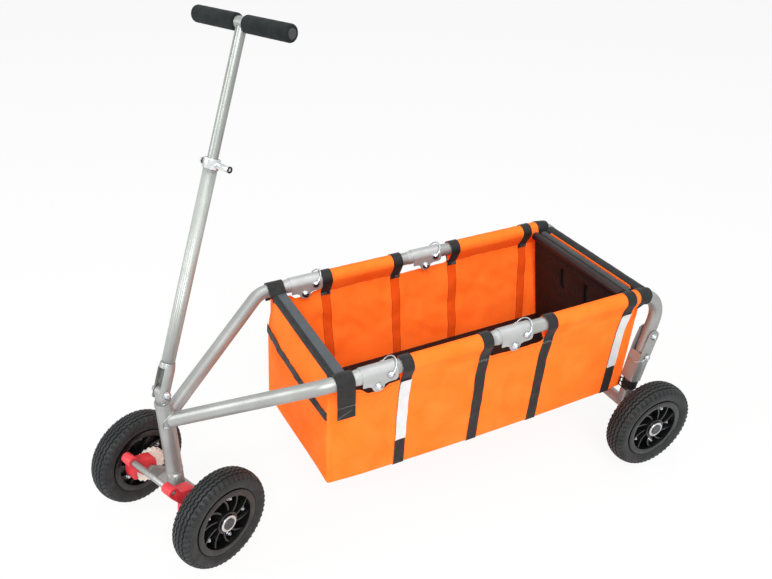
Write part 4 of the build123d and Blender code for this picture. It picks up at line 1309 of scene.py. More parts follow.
    def hub(self) -> None:
        """Bearing barrel with its bright ring and dark cap."""
        place, r = self.place(), self.hub_r
        barrel = [(7.6, -27.0), (r - 0.5, -27.0), (r, -26.5), (r, 23.6), (16.9, 24.3), (7.6, 24.3), (7.6, -27.0)]
        ring = [(11.6, 24.2), (17.2, 24.2), (17.2, 25.6), (16.4, 26.4), (13.0, 26.4), (12.4, 25.6), (11.6, 25.6),
                (11.6, 24.2)]
        cap = [(0.0, 24.4), (11.4, 24.4), (11.4, 27.4), (10.4, 28.4), (8.0, 28.5), (7.4, 27.9), (0.0, 27.9)]
        for kind, profile, sides, finish, nodes in (
                ("hub_barrel_", barrel, 48, RIM, ("hub_" + self.name,)), ("bearing_ring_", ring, 48, BEARING, ()),
                ("hub_cap_", cap, 40, CAP, ())):
            piece(kind + self.name, lathe("hub", profile, place, sides), finish, self.body, nodes)

    def build(self) -> None:
        """Build the wheel from the outside in."""
        self.tyre()
        self.lugs()
        dressed("rim_" + self.name, RIM, bevel_mm=0.7)
        self.bolts()
        self.hub()


# ---------------------------------------------------------------- basket


@dataclass
class Section:
    """A part of the basket along the cart, and the body that carries it."""

    name: str
    body: Body
    rear_x: float
    front_x: float


@dataclass
class Basket:
    """Fabric basket: lofted shell, end walls, rail tunnels, straps, boards and stitching."""

    floor_z: float = 132.0
    floor_half: float = 157.0
    rise_half: float = 3.0
    bow: float = 1.5
    flare: float = 17.0
    lip: float = 5.0
    front_x: float = 203.0
    rear_x: float = -516.0
    corner_x: float = 13.0
    corner_r: float = 6.0
    edge_r: float = 4.0
    cloth: float = 1.3
    webbing: float = 1.3
    sag: float = 8.0
    belly: float = 3.4
    fold: float = 2.6
    crease: float = 1.8
    pucker: float = 2.0
    far_slack: float = 1.9
    seam_z: float = 350.0
    gap_z: float = 344.0
    rises: tuple[Spot, ...] = ((12.0, 126.0, 16.0), (16.0, 163.0, 20.0))
    front_top: float = 378.5
    rear_top: float = 384.0
    end_half: float = 150.0
    end_belly: float = 3.2
    end_fold: float = 2.4
    rear_lean: float = 8.0
    front_lean: float = 6.0
    front_tuck: float = 12.6
    front_skew: float = 9.0
    tunnel_r: float = 15.8
    tunnel_end: float = -491.0
    tunnel_lap: float = 9.0
    hem_start_deg: float = 199.0
    hem_leave_deg: float = 28.0
    hem_reach: float = 13.0
    near_ripple: float = 0.026
    far_ripple: float = 0.045
    strap_w: float = 22.5
    strap_xs: tuple[float, ...] = (51.0, -119.0, -267.5, -466.0)
    strap_lift: float = 1.45
    loop_lift: float = 1.5
    far_shift: float = 8.5
    tape_half: float = 11.1
    corner_strap_x: float = 174.5
    corner_strap_w: float = 35.0
    corner_strap_r: float = 16.6
    corner_strap_drop: float = 72.0
    far_drop_share: float = 0.45
    band_half: float = 157.0
    band_tuck: Pairs = ((179.6, 384.3), (182.6, 384.0), (184.6, 383.0), (185.9, 381.2))
    cross_x: float = -521.9
    cross_z: float = 375.7
    cover_r: float = 12.6
    cover_half: float = 158.0
    cap_x: float = -489.0
    cap_r: float = 16.9
    cap_run: float = 27.0
    cap_straight: float = 6.0
    cap_bend_r: float = 60.0
    floor_top: float = 150.3
    floor_board_t: float = 18.0
    board_low: float = 152.8
    board_high: float = 378.0
    rear_board: tuple[float, float] = (-505.0, -474.0)
    front_board: tuple[float, float] = (194.0, 172.0)
    edging_z: float = 373.5
    rib_half: float = 149.0
    rib_pitch: float = 5.6
    slot_y: float = 42.0
    slot_z: float = 314.0
    slot_half: float = 27.0
    slot_clear: float = 10.5
    open_hems: tuple[tuple[float, float, Body], ...] = (
        (-250, -182, Body.REAR), (-178, -131, Body.MID), (70, 110, Body.MID), (114, 160, Body.FRONT),
    )

    def sections(self) -> list[Section]:
        """The parts of the shell between the rail hinges.

        Returns:
            Three parts, rear to front.
        """
        return [
            Section("rear", Body.REAR, self.rear_x + self.corner_x, CART.rear_hinge_x),
            Section("mid", Body.MID, CART.rear_hinge_x, CART.front_hinge_x),
            Section("front", Body.FRONT, CART.front_hinge_x, self.front_x - self.corner_x),
        ]

    def section_of(self, x: float) -> Section:
        """The part of the shell that holds a place along the cart."""
        return next((s for s in self.sections() if s.rear_x <= x <= s.front_x), self.sections()[0 if x < 0 else -1])

    def straps(self, side: int) -> tuple[float, ...]:
        """Places of a side's straps along the cart, front to rear; the right side's sit further forward."""
        return tuple(x + (0.0 if side > 0 else self.far_shift) for x in self.strap_xs)

    def spans(self, side: int) -> list[Section]:
        """Rail tunnels of a side, which end under its straps.

        Args:
            side: sign of the side.
        Returns:
            The middle tunnel and the rear one.
        """
        xs, lap = self.straps(side), self.tunnel_lap
        return [
            Section("mid", Body.MID, xs[1] - lap, xs[0] + lap),
            Section("rear", Body.REAR, self.tunnel_end, xs[2] + lap),
        ]

    def share(self, z: float) -> float:
        """A height as a share, 0 at the floor and 1 at the rail."""
        return (z - self.floor_z) / (CART.rail_z - self.floor_z)

    def end_x(self, end: int) -> float:
        """X of the front wall for 1, of the rear wall for -1."""
        return self.front_x if end > 0 else self.rear_x

    def top(self, side: int, x: float) -> float:
        """Height of the wall's top edge: low where it passes under a hinge, and up to the bar at the front.

        Args:
            side: sign of the side.
            x: place along the cart.
        Returns:
            The height in millimetres.
        """
        lap = self.tunnel_lap
        under = max(smooth((x - s.rear_x + lap) / lap) * smooth((s.front_x + lap - x) / lap) for s in self.spans(side))
        rise = sum(high * smooth((x - start) / run) for high, start, run in self.rises)
        rise += 8.0 * smooth((97.0 - x) / 13.0) * smooth((x - 60.0) / 6.0)
        return self.gap_z + (self.seam_z - self.gap_z) * under + rise

    def half(self, x: float, share: float) -> float:
        """Half width of the plain basket, whose sides flare out to the rails between the two ends.

        Args:
            x: place along the cart.
            share: height, 0 at the floor and 1 at the rail.
        Returns:
            The half width in millimetres.
        """
        fore, aft = smooth((self.front_x - 14 - x) / 60), smooth((x - self.rear_x - 10) / 25)
        corner = 0.75 * (1 - aft) * max(0.0, share - 0.2) / 0.8
        flared = self.flare * fore * (aft * share + corner)
        lip = self.lip * fore * aft * smooth((share - 0.66) / 0.2)
        return self.floor_half + self.bow * fore * aft + self.rise_half * share + flared + lip

    def low(self, x: float) -> float:
        """Height of the floor's edge, which sags between the ends."""
        return self.floor_z - self.sag * hump((self.front_x - x) / (self.front_x - self.rear_x)) ** 0.9

    def bay(self, side: int, x: float) -> float:
        """Place in the bay between two straps.

        Args:
            side: sign of the side.
            x: place along the cart.
        Returns:
            0 at a strap, and up to 1 midway.
        """
        bays = (self.front_x, *self.straps(side), self.rear_x)
        for ahead, behind in zip(bays, bays[1:]):
            if behind <= x <= ahead:
                return sin(pi * (ahead - x) / (ahead - behind)) * min(1.0, (ahead - behind) / 150)
        return 0.0

    def out(self, side: int, x: float, z: float) -> float:
        """Distance of the wall's middle surface from the cart's middle plane.

        Args:
            side: sign of the side.
            x: place along the cart.
            z: height.
        Returns:
            The distance in millimetres.
        """
        share, below, seed = self.share(z), max(0.0, self.seam_z - z), 3.0 + 5.0 * side
        held, slack = hump(share) ** 0.7, 1.0 if side > 0 else self.far_slack
        pucker = self.pucker * exp(-below / 40) * smooth(below / 8) * wave(x / 15, z / 70, seed)
        fold = self.fold * held * wave(x / 62 + z / 150, z / 90 - x / 170, seed + 9)
        crease = self.crease * held * wave(x / 27 - z / 60, z / 33, seed + 17)
        belly = self.belly * self.bay(side, x) * held
        ends = smooth((self.front_x - 8 - x) / 30) * smooth((x - self.rear_x - 8) / 30)
        return self.half(x, share) + (belly + (fold + crease) * slack) * ends + pucker * slack

    def on_wall(self, side: int, x: float, z: float, lift: float) -> Spot:
        """A point off the wall's middle surface, outward for a positive lift."""
        return (x, side * (self.out(side, x, z) + lift), z)

    def shell(self) -> None:
        """The lofted shell, from one wall down across the floor and up the other."""
        nodes = ("basket_wall_left", "basket_wall_right", "basket_floor")
        for part in self.sections():
            length = part.front_x - part.rear_x
            rows = [self.cut(x) for x in np.linspace(part.rear_x, part.front_x, int(length / 5.5) + 2)]
            mesh = cloth_mesh("shell", rows, self.cloth)
            made = piece(f"basket_shell_{part.name}", mesh, ORANGE, part.body.value, nodes)
            crumple(made)

    def cut(self, x: float) -> np.ndarray:
        """The shell's section at a place along the cart, from the left top to the right top.

        Args:
            x: place along the cart.
        Returns:
            n by 3 array.
        """
        half, low, r = {}, self.low(x), self.edge_r
        for side in Side:
            wall = [self.on_wall(side, x, z, 0.0) for z in np.linspace(self.top(side, x), low + r, 38)]
            foot = self.out(side, x, low + r)
            bend = [(x, side * (foot - r + r * cos(a)), low + r - r * sin(a)) for a in QUARTER]
            half[side] = wall + bend
        edge = abs(half[1][-1][1])
        floor = []
        for y in np.linspace(edge, -edge, 26)[1:-1]:
            inner = 1 - (y / edge) ** 2
            floor.append((x, y, low - (2.2 * inner + 0.8 * wave(x / 40, y / 40, 2.0) * inner)))
        return np.array(half[1] + floor + half[-1][::-1])

    def plan(self, end: int, inset: float, base: float) -> list[tuple[float, float]]:
        """Plan line of an end wall, from the left wall round both corners to the right wall.

        Args:
            end: 1 for the front, -1 for the rear.
            inset: how far the line lies inside the wall.
            base: half width there.
        Returns:
            X and Y pairs.
        """
        r = max(0.5, self.corner_r - inset)
        start, reach = self.end_x(end) - end * self.corner_x, self.end_x(end) - end * inset
        ways = [(start + (reach - end * r - start) * t, base - inset) for t in (0.0, 0.35, 0.7)]
        for a in np.linspace(0, pi / 2, 7):
            ways.append((reach - end * r * (1 - sin(a)), base - inset - r + r * cos(a)))
        flat = np.linspace(ways[-1][1], -ways[-1][1], 34)[1:-1]
        return ways + [(reach, y) for y in flat] + [(x, -y) for x, y in ways[::-1]]

    def lean(self, end: int, share: float, y: float) -> float:
        """How far an end wall leans from its plane, forward positive.

        Args:
            end: 1 for the front, -1 for the rear.
            share: height, 0 at the floor and 1 at the rail.
            y: place across the cart.
        Returns:
            The lean in millimetres.
        """
        share = min(1.0, max(0.0, share))
        if end < 0:
            return self.rear_lean * share * share
        tuck = self.front_tuck * (max(0.0, share - 0.66) / 0.324) ** 1.6
        skew = self.front_skew * (1 - share) * smooth((self.end_half - y) / (2 * self.end_half))
        return -self.front_lean * share - tuck + skew

    def inner(self, y: float) -> float:
        """1 in the middle of an end wall and 0 at its sides."""
        return max(0.0, 1 - (y / self.end_half) ** 2)

    def bulge(self, end: int, y: float, z: float) -> float:
        """How far the slack cloth of an end wall stands out from its plane.

        Args:
            end: 1 for the front, -1 for the rear.
            y: place across the cart.
            z: height.
        Returns:
            The distance in millimetres.
        """
        held = hump(self.share(z)) * self.inner(y)
        return self.end_belly * held + self.end_fold * held * wave(y / 48, z / 75, 31.0 + end)

    def front_dip(self, y: float) -> float:
        """How far the front's top hem drops near the corners."""
        return 7.0 * smooth((abs(y) - 134) / 16)

    def end_wall(self, end: int) -> None:
        """Front or rear wall with rounded corners and a lip under the floor.

        Args:
            end: 1 for the front, -1 for the rear.
        """
        name, body, top = ("front", Body.FRONT, self.front_top) if end > 0 else ("rear", Body.REAR, self.rear_top)
        flat_x, r = self.end_x(end), self.edge_r
        low = self.low(flat_x)
        levels = [(low, r)] + [(low + r - r * cos(a), r - r * sin(a)) for a in QUARTER]
        levels += [(z, 0.0) for z in np.linspace(low + r, top, 32)[1:]]
        rows = []
        for z, inset in levels:
            share = self.share(z)
            base = self.half(flat_x, share)
            row = []
            for x, y in self.plan(end, inset, base):
                side = 1 if y > 0 else -1
                push = (self.out(side, x, z) - base) * (1 - self.inner(y)) if abs(y) > base - 3 else 0.0
                swing = self.lean(end, share, y) * smooth(abs(x - flat_x + end * self.corner_x) / self.corner_x)
                dip = self.front_dip(y) if end > 0 else 34.0 * smooth((abs(y) - 141) / 13)
                dip *= smooth((z - 300) / 75)
                row.append((x + end * self.bulge(end, y, z) + swing, y + side * push, z - dip))
            rows.append(row)
        lip = [(flat_x - end * self.corner_x, y, low) for _, y, _ in rows[0]]
        mesh = cloth_mesh("end", [lip, *rows], self.cloth, end < 0)
        made = piece(f"basket_end_{name}", mesh, ORANGE, body.value, (f"basket_wall_{name}",))
        crumple(made)

    def hem(self, side: int, x: float, grow: float, inner_z: float, foot_z: float) -> list[tuple[float, float]]:
        """Section of a tunnel or loop round a rail: out from the rail's middle, and up.

        Args:
            side: sign of the side.
            x: place along the cart.
            grow: how far it lies outside the tunnel's own cloth.
            inner_z: height of its end on the inside of the wall.
            foot_z: height where it meets the outside of the wall.
        Returns:
            Outward and upward pairs, from the inside over the rail to the outside.
        """
        lap = self.cloth + 0.2 + grow
        inner = [(self.out(side, x, z) - lap - CART.rail_y, z - CART.rail_z)
                 for z in np.linspace(inner_z, self.seam_z - 3, 4)]
        over = arc(self.tunnel_r + grow, self.hem_start_deg, -self.hem_leave_deg, 28)
        (sx, sy), (tx, ty) = inner[-1], over[0]
        inner += [(sx + (tx - sx) * t - 0.8 * hump(t), sy + (ty - sy) * t) for t in (0.2, 0.4, 0.6, 0.8)]
        leave, (ax, ay) = radians(self.hem_leave_deg), over[-1]
        dx, dy = self.out(side, x, foot_z) + grow * 1.13 - CART.rail_y, foot_z - CART.rail_z
        bx, by = ax - self.hem_reach * sin(leave), ay - self.hem_reach * cos(leave)
        cx, cy = dx + 1.6, dy + 9.0
        sweep = []
        for t in np.linspace(0, 1, 12)[1:]:
            u = 1 - t
            sweep.append((u**3 * ax + 3 * u * u * t * bx + 3 * u * t * t * cx + t**3 * dx,
                          u**3 * ay + 3 * u * u * t * by + 3 * u * t * t * cy + t**3 * dy))
        return inner + over + sweep

    def tunnels(self) -> None:
        """Cloth tunnels that hold the walls on the rails; outside, the wall's cloth runs on without a step."""
        for side in Side:
            strength = self.near_ripple if side is Side.LEFT else self.far_ripple
            for part in self.spans(side):
                rows, length = [], part.front_x - part.rear_x
                for x in np.linspace(part.rear_x, part.front_x, int(length / 5) + 2):
                    row = []
                    path = self.hem(side, x, 0.0, self.gap_z, self.seam_z)
                    for i, (o, h) in enumerate(path):
                        ripple = 0.7 * wave(x / 19, i / 5, 51.0 + side) + 0.5 * wave(x / 7, i / 9, 57.0)
                        fade = smooth((len(path) - 1 - i) / 8) * smooth((i - 5) / 4)
                        swell = 1 + strength * ripple * fade
                        row.append((x, side * (CART.rail_y + o * swell), CART.rail_z + h * swell))
                    rows.append(row)
                mesh = cloth_mesh("tunnel", rows, self.cloth, side is Side.RIGHT)
                made = piece(f"rail_tunnel_{part.name}_{side.label}", mesh, ORANGE, part.body.value,
                             (f"basket_wall_{side.label}",))

    def strap(self, side: Side, x: float, index: int) -> None:
        """One side strap: a loop round the rail and a tail down the outside of the wall.

        Args:
            side: side of the cart.
            x: place of its middle along the cart.
            index: number used in its name.
        """
        name, body, near = f"{side.label}_{index}", self.section_of(x).body.value, side is Side.LEFT
        across = spread(self.strap_w / 2, 7)
        path = self.hem(side, x, self.loop_lift, 339.0, 343.0)
        loop = [[(x + w, side * (CART.rail_y + o), CART.rail_z + h) for w in across] for o, h in path]
        piece(f"strap_loop_{name}", cloth_mesh("loop", loop, self.webbing, near), WEBBING, body, ("side_straps",))
        low, edge, lift = self.low(x), self.edge_r, self.strap_lift
        tail = [[self.on_wall(side, x + w, z, lift) for w in across] for z in np.linspace(self.gap_z, low + edge, 44)]
        foot, r = self.out(side, x, low + edge) - edge, edge + lift
        for a in QUARTER:
            tail.append([(x + w, side * (foot + r * cos(a)), low + edge - r * sin(a)) for w in across])
        tail.append([(x + w, side * (foot - 14.0), low - 1.6) for w in across])
        crumple(piece(f"strap_tail_{name}", cloth_mesh("tail", tail, self.webbing, near), WEBBING, body))
        # Inside the wall behind the strap, a strip of the same cloth in a darker tone: painted shade.
        strip = [[self.on_wall(side, x + w * 0.92, z, -0.95) for w in across] for z in np.linspace(341.0, low + 12, 40)]
        crumple(piece(f"strap_backing_{name}", cloth_mesh("backing", strip, 0.5, not near), ORANGE_STRAP_SHADE, body))

    def reflector(self, side: Side, x: float, low: float) -> None:
        """Reflecting tape on the upper part of a strap's tail.

        Args:
            side: side of the cart.
            x: place of its middle along the cart.
            low: height of its lower end.
        """
        across = spread(self.tape_half, 5)
        rows = [[self.on_wall(side, x + w, z, 2.45 + 0.36 * max(0.0, z - 343.0)) for w in across]
                for z in np.linspace(self.seam_z, low, 38)]
        name = f"reflecting_tape_{side.label}_{'front' if x > 0 else 'rear'}"
        mesh = cloth_mesh("tape", rows, 0.5, side is Side.LEFT)
        crumple(piece(name, mesh, REFLECTOR, self.section_of(x).body.value))

    def corner_strap(self, side: Side) -> None:
        """Wide strap from the front board's bar over the arm, with its tail hanging outside.

        Args:
            side: side of the cart.
        """
        middle, body = self.corner_strap_x, Body.FRONT.value
        tail = self.corner_strap_drop * (1.0 if side is Side.LEFT else self.far_drop_share)
        across = spread(self.corner_strap_w / 2, 9)
        path = [(-25.0, -7.0), (-23.6, -2.5), (-20.5, 2.5), *arc(self.corner_strap_r, 152, 0, 18)]
        path += [(16.5 - 3.2 * t**1.5, -tail * t) for t in np.linspace(0, 1, 16)[1:]]
        rows = []
        for o, h in path:
            row = []
            for w in across:
                x = middle + w
                drop = max(0.0, x - 187.0) ** 2 / 150.0 if h > -20 else 0.0
                ripple = 0.9 * wave(x / 14, h / 20, 67.0 + side) * smooth(-h / 30)
                row.append((x, side * (CART.rail_y + o + ripple - drop * 1.2), CART.rail_z + h - drop * 0.8))
            rows.append(row)
        mesh = cloth_mesh("strap", rows, 1.6, side is Side.LEFT)
        piece(f"corner_strap_{side.label}", mesh, WEBBING, body, ("front_straps",))
        low, out, seam = CART.rail_z - tail, CART.rail_y + 14.9, spread(16, 8)
        lines = [[(middle + w, side * (out + 0.9), low + 27.0) for w in seam],
                 [(middle + w, side * out, low + 12.0 - 0.45 * w) for w in seam]]
        mesh = stitched(lines, PALE_THREAD, pitch=3.2, length=2.2, thread=0.35)
        piece(f"corner_strap_stitches_{side.label}", mesh, PALE_THREAD, body)

    def front_bands(self) -> None:
        """Two black bands across the front: one along the top hem, one slack across the middle."""
        for name, z, half, slack in (("top", 376.2, 2.8, 0.3), ("middle", 301.0, 9.0, 6.0)):
            top, rows = name == "top", []
            for y in np.linspace(self.band_half, -self.band_half, 72):
                inner = max(0.0, 1 - (y / self.band_half) ** 2)
                sway = (slack * wave(y / 40, 1.0, 77.0) + slack * 0.6 * wave(y / 15, 2.0, 79.0)) * min(1.0, 3 * inner)
                sag = 0.7 * slack * inner + (0.0 if top else y / 31.0)
                dip = self.front_dip(y) if top else 0.0
                corner = max(0.0, abs(y) - 154.0) ** 2 / 10
                row = []
                for w in np.linspace(half, -half, 6):
                    lean = self.lean(1, self.share(z + w), y)
                    x = self.front_x + lean + self.bulge(1, y, z + w) + 1.9 - corner
                    twist = slack * 0.5 * wave(y / 24, 4.0, 83.0) * (w / half)
                    row.append((x + max(0.0, sway * 0.4) + max(0.0, twist), y, z + w + sway * 0.7 - sag - dip))
                if top:
                    fall = 8.0 * smooth((abs(y) - 147) / 8)
                    row = [(x, y, high - fall) for x, high in self.band_tuck] + row
                rows.append(row)
            band = piece(f"front_band_{name}", cloth_mesh("band", rows[::-1], self.webbing), WEBBING, Body.FRONT.value)
            if not top:
                crumple(band)

    def rear_cover(self) -> None:
        """Black cloth round the rear cross tube."""
        section = [(12.9, -3.0), *arc(self.cover_r, 0, 235, 24)]
        section += [(-3.0, -15.5), (4.0, -20.0), (9.5, -26.0), (10.8, -33.0)]
        rows = []
        for y in spread(self.cover_half, 62):
            row = []
            for i, (o, h) in enumerate(section):
                ripple = 1 + 0.03 * wave(y / 21, i / 5, 91.0) + 0.015 * wave(y / 8, i / 8, 93.0)
                row.append((self.cross_x + o * ripple, y, self.cross_z + h * ripple))
            rows.append(row)
        mesh = cloth_mesh("cover", rows[::-1], self.cloth)
        made = piece("rear_tunnel_cover", mesh, BLACK_CLOTH, Body.REAR.value, ("rear_tunnel",))

    def corner_cap(self, side: Side) -> None:
        """Cap on a rail where it bends down, with a ragged lower edge.

        Args:
            side: side of the cart.
        """
        bend_r, straight, rows = self.cap_bend_r, self.cap_straight, []
        for t in np.linspace(0, 1, 18):
            row = []
            for i, a in enumerate(spread(pi, 30)):
                ragged = 7.0 * smooth(-cos(a) * 1.4) * wave(i / 3, 1.0, 99.0 + side)
                run = (self.cap_run + ragged) * t
                turn = max(0.0, run - straight) / bend_r
                x = self.cap_x - min(run, straight) - bend_r * sin(turn)
                z = CART.rail_z - bend_r * (1 - cos(turn))
                lift = self.cap_r + 0.9 * wave(run / 9, i / 4, 97.0 + side) + 0.8 * smooth((run - 20) / 7)
                up, outward = lift * cos(a), lift * sin(a)
                row.append((x - up * sin(turn), side * (CART.rail_y + outward), z + up * cos(turn)))
            rows.append(row)
        mesh = cloth_mesh("cap", rows[::-1] if side is Side.LEFT else rows, self.cloth)
        made = piece(f"corner_cap_{side.label}", mesh, BLACK_CLOTH, Body.REAR.value, ("rear_tunnel",))

    def corner_flap(self, side: Side) -> None:
        """Pointed flap of cloth below a corner cap.

        Args:
            side: side of the cart.
        """
        rows = []
        for t in np.linspace(0, 1, 8):
            y, z = side * (CART.rail_y + 9.5 - 16.0 * t), 368.0 - 23.0 * t
            rows.append([(x, y, z) for x in np.linspace(-493.0 - 12.0 * t, -513.0 + 6.0 * t**0.5, 6)])
        mesh = cloth_mesh("flap", rows, self.cloth)
        made = piece(f"corner_flap_{side.label}", mesh, BLACK_CLOTH, Body.REAR.value)
        crumple(made)

    def board_x(self, ends: tuple[float, float], z: float) -> float:
        """X of a leaning end board at a height, from its X at the foot and at the top."""
        share = (z - self.board_low) / (self.board_high - self.board_low)
        return ends[0] + (ends[1] - ends[0]) * share

    def end_board(self, node: str, body: Body, ends: tuple[float, float]) -> None:
        """Stiff board in an end wall, ribbed across; the front one has a grey edging, the rear one grip slots.

        Args:
            node: CAD node of the board.
            body: body that it rides on.
            ends: X of its foot and of its top.
        """
        made = dressed(node, BOARD, bevel_mm=0.6)
        if body is Body.FRONT:
            made.data.materials.append(EDGING.material())
            for face in made.data.polygons:
                face.material_index = 1 if face.center.z > self.edging_z * MM else 0
        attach(made, body.value)
        crumple(made)
        wide, inward, lines = self.rib_half, copysign(2.3, ends[1] - ends[0]), []
        for z in np.arange(self.board_low + 4, self.board_high - 12, self.rib_pitch):
            spans = [(-wide, wide)]
            if body is Body.REAR and abs(z - self.slot_z) < self.slot_half + 2:
                inner, outer = self.slot_y - self.slot_clear, self.slot_y + self.slot_clear
                spans = [(-wide, -outer), (-inner, inner), (outer, wide)]
            x = self.board_x(ends, z) + inward
            lines += [[(x, a, z), (x, b, z)] for a, b in spans]
        crumple(piece(node + "_ribs", rods(lines, BOARD, 1.1), BOARD, body.value))

    def floor_boards(self) -> None:
        """Stiff floor in three parts, ribbed along the cart."""
        middle, past = self.floor_top - self.floor_board_t / 2, self.corner_x - 5
        for part in self.sections():
            ahead = part.front_x + (past if part.name == "front" else -0.5)
            behind = part.rear_x - (past if part.name == "rear" else -0.5)
            rows = [[(x, y, middle) for y in spread(152.0, 12)] for x in np.linspace(behind, ahead, 16)]
            mesh = cloth_mesh("floor", rows, self.floor_board_t)
            crumple(piece(f"floor_board_{part.name}", mesh, BOARD, part.body.value, ("floor_board",)))
            lines = [[(x, y, self.floor_top - 0.1) for x in np.linspace(behind + 2, ahead - 2, 16)]
                     for y in spread(147.0, 36)]
            crumple(piece(f"floor_ribs_{part.name}", rods(lines, BOARD, 1.2), BOARD, part.body.value))

    def bar(self, name: str, middle: tuple[float, float], half: tuple[float, float], soft: float, finish: Finish,
            body: Body) -> Thing:
        """A long bar across the cart with rounded edges and ends.

        Args:
            name: name of the piece.
            middle: X and Z of its middle.
            half: half its width and height.
            soft: 2 for a round section, more for a squarer one.
            finish: its finish.
            body: body that it rides on.
        Returns:
            The piece.
        """
        ring, tip = 36, [(150.6, 0.02), (150.6, 0.7), (149.8, 0.93), (148.0, 1.0)]
        along = [(-y, shrink) for y, shrink in tip] + [(y, 1.0) for y in spread(140, 15)] + tip[::-1]
        points = []
        for y, shrink in along:
            for a in np.linspace(0, 2 * pi, ring + 1)[:-1]:
                c, d = cos(a), sin(a)
                points.append((middle[0] + half[0] * shrink * copysign(abs(c) ** (2 / soft), c), y,
                               middle[1] + half[1] * shrink * copysign(abs(d) ** (2 / soft), d)))
        faces = ring_quads(len(along), ring)
        faces += [tuple(range(ring)), tuple(range(len(points) - ring, len(points)))[::-1]]
        return piece(name, tidy_mesh(mesh_of("bar", points, faces)), finish, body.value)

    def edgings(self) -> None:
        """Grey bar cover on the front board, foam roll behind the rear board, and black sheets behind its slots as
        painted shade in them.
        """
        self.bar("front_bar_cover", (169.4, 378.2), (11.2, 5.7), 5.0, EDGING, Body.FRONT)
        roll = self.bar("rear_foam_roll", (-495.6, 377.6), (8.2, 8.4), 2.4, ROLL, Body.REAR)
        # Black sheets behind the rear board's grip slots: painted shade seen through the slots.
        for side in Side:
            rows = []
            for z in np.linspace(self.slot_z - 36, self.slot_z + 36, 9):
                x = self.board_x(self.rear_board, z) - 4.6
                rows.append([(x, side * self.slot_y + y, z) for y in spread(15, 5)])
            mesh = cloth_mesh("pocket", rows, 0.8)
            crumple(piece(f"grip_pocket_{side.label}", mesh, BLACK_CLOTH, Body.REAR.value))

    def stitching(self) -> None:
        """Rows of thread on the seams, hems and straps."""
        dark: dict[Body, list] = {Body.MID: [], Body.FRONT: [], Body.REAR: []}
        pale: dict[Body, list] = {body: [] for body in dark}
        for side in Side:
            for x in self.straps(side):
                body, heights = self.section_of(x).body, np.linspace(336.0, self.low(x) + 14, 40)
                for edge in (-10.2, 10.2):
                    dark[body].append([self.on_wall(side, x + edge, z, -1.35) for z in heights])
                for z in (345.6, 342.4):
                    pale[body].append([self.on_wall(side, x + w, z - 1, -3.85) for w in spread(11, 6)])
                    pale[body].append([self.on_wall(side, x + w, z - 4, 2.25) for w in spread(10, 6)])
            for low, high, body in self.open_hems:
                along = np.linspace(low, high, 16)
                dark[body].append([self.on_wall(side, x, self.top(side, x) - 5, 0.75) for x in along])
        for body in dark:
            for finish, lines, name in ((DARK_THREAD, dark[body], "dark"), (PALE_THREAD, pale[body], "pale")):
                if lines:
                    mesh = stitched(lines, finish)
                    crumple(piece(f"basket_stitches_{name}_{body.value}", mesh, finish, body.value))
        for side in Side:
            for part in self.spans(side):
                along = np.linspace(part.rear_x + 2, part.front_x - 2, 60)
                seam = [self.on_wall(side, x, self.seam_z - 3, -2.35) for x in along]
                mesh = stitched([seam], DARK_THREAD)
                piece(f"tunnel_stitches_{part.name}_{side.label}", mesh, DARK_THREAD, part.body.value)

    def build(self) -> None:
        """Build the basket from the shell outward."""
        self.shell()
        self.end_wall(1)
        self.end_wall(-1)
        self.tunnels()
        for side in Side:
            xs = self.straps(side)
            for index, x in enumerate(xs, 1):
                self.strap(side, x, index)
            self.reflector(side, xs[0], 195.0)
            self.reflector(side, xs[-1], 206.0)
            self.corner_strap(side)
        self.front_bands()
        self.rear_cover()
        for side in Side:
            self.corner_cap(side)
            self.corner_flap(side)
        self.end_board("rear_board", Body.REAR, self.rear_board)
        self.end_board("front_board", Body.FRONT, self.front_board)
        self.floor_boards()
        self.edgings()
        self.stitching()


@dataclass
class LegStraps:
    """Webbing round each leg below its channel, with a ladder buckle."""

    lean_deg: float = 11.3
    low: float = 42.5
    high: float = 61.0
    radius: float = 15.9
    points: int = 44
    lifted: int = 39
    buckle_x: float = 18.6
    rung_half: float = 12.0
    rail_half: float = 12.5

    def place(self, side: Side) -> Matrix:
        """Frame along the leg, with its Z up the leg and X forward.

        Args:
            side: side of the cart.
        Returns:
            The frame in metres.
        """
        made = Matrix.Rotation(-radians(self.lean_deg), 4, "Y")
        made.translation = Vector((CART.rear_axle_x, side * CART.rail_y, CART.axle_z)) * MM
        return made

    def strap(self) -> Mesh:
        """The loop of webbing, whose free end lifts off.

        Returns:
            The mesh about the leg's own axis.
        """
        rows = []
        for h in np.linspace(self.low, self.high, 6):
            row = []
            for i, a in enumerate(np.linspace(0.1, 2 * pi + 0.3, self.points)):
                r = self.radius * (1 + 0.1 * max(0.0, (i - self.lifted) / 5))
                row.append((r * cos(a), r * sin(a), h + 1.2 * wave(a, h / 20, 7.0)))
            rows.append(row)
        return cloth_mesh("strap", rows[::-1], 1.4)

    def buckle(self) -> Mesh:
        """The ladder buckle: three rungs between two bars.

        Returns:
            The mesh about the leg's own axis.
        """
        x, bars = self.buckle_x, []
        for h in (self.low, (self.low + self.high) / 2, self.high):
            rung = [(x, y, h) for y in spread(self.rung_half, 5)]
            bars.append(tube_mesh("bar", rung, 1.3))
        for y in (-self.rail_half, self.rail_half):
            rail = [(x, y, h) for h in np.linspace(self.low - 1, self.high + 1, 5)]
            bars.append(tube_mesh("bar", rail, 1.5))
        return joined("buckle", bars)

    def build(self) -> None:
        """Two loops of webbing and their buckles."""
        for side in Side:
            strap, buckle = self.strap(), self.buckle()
            for mesh in (strap, buckle):
                mesh.transform(self.place(side))
            piece(f"leg_strap_{side.label}", strap, WEBBING, Body.LEGS.value, ("leg_straps",))
            piece(f"leg_buckle_{side.label}", buckle, RIM, Body.LEGS.value)


# ---------------------------------------------------------------- studio


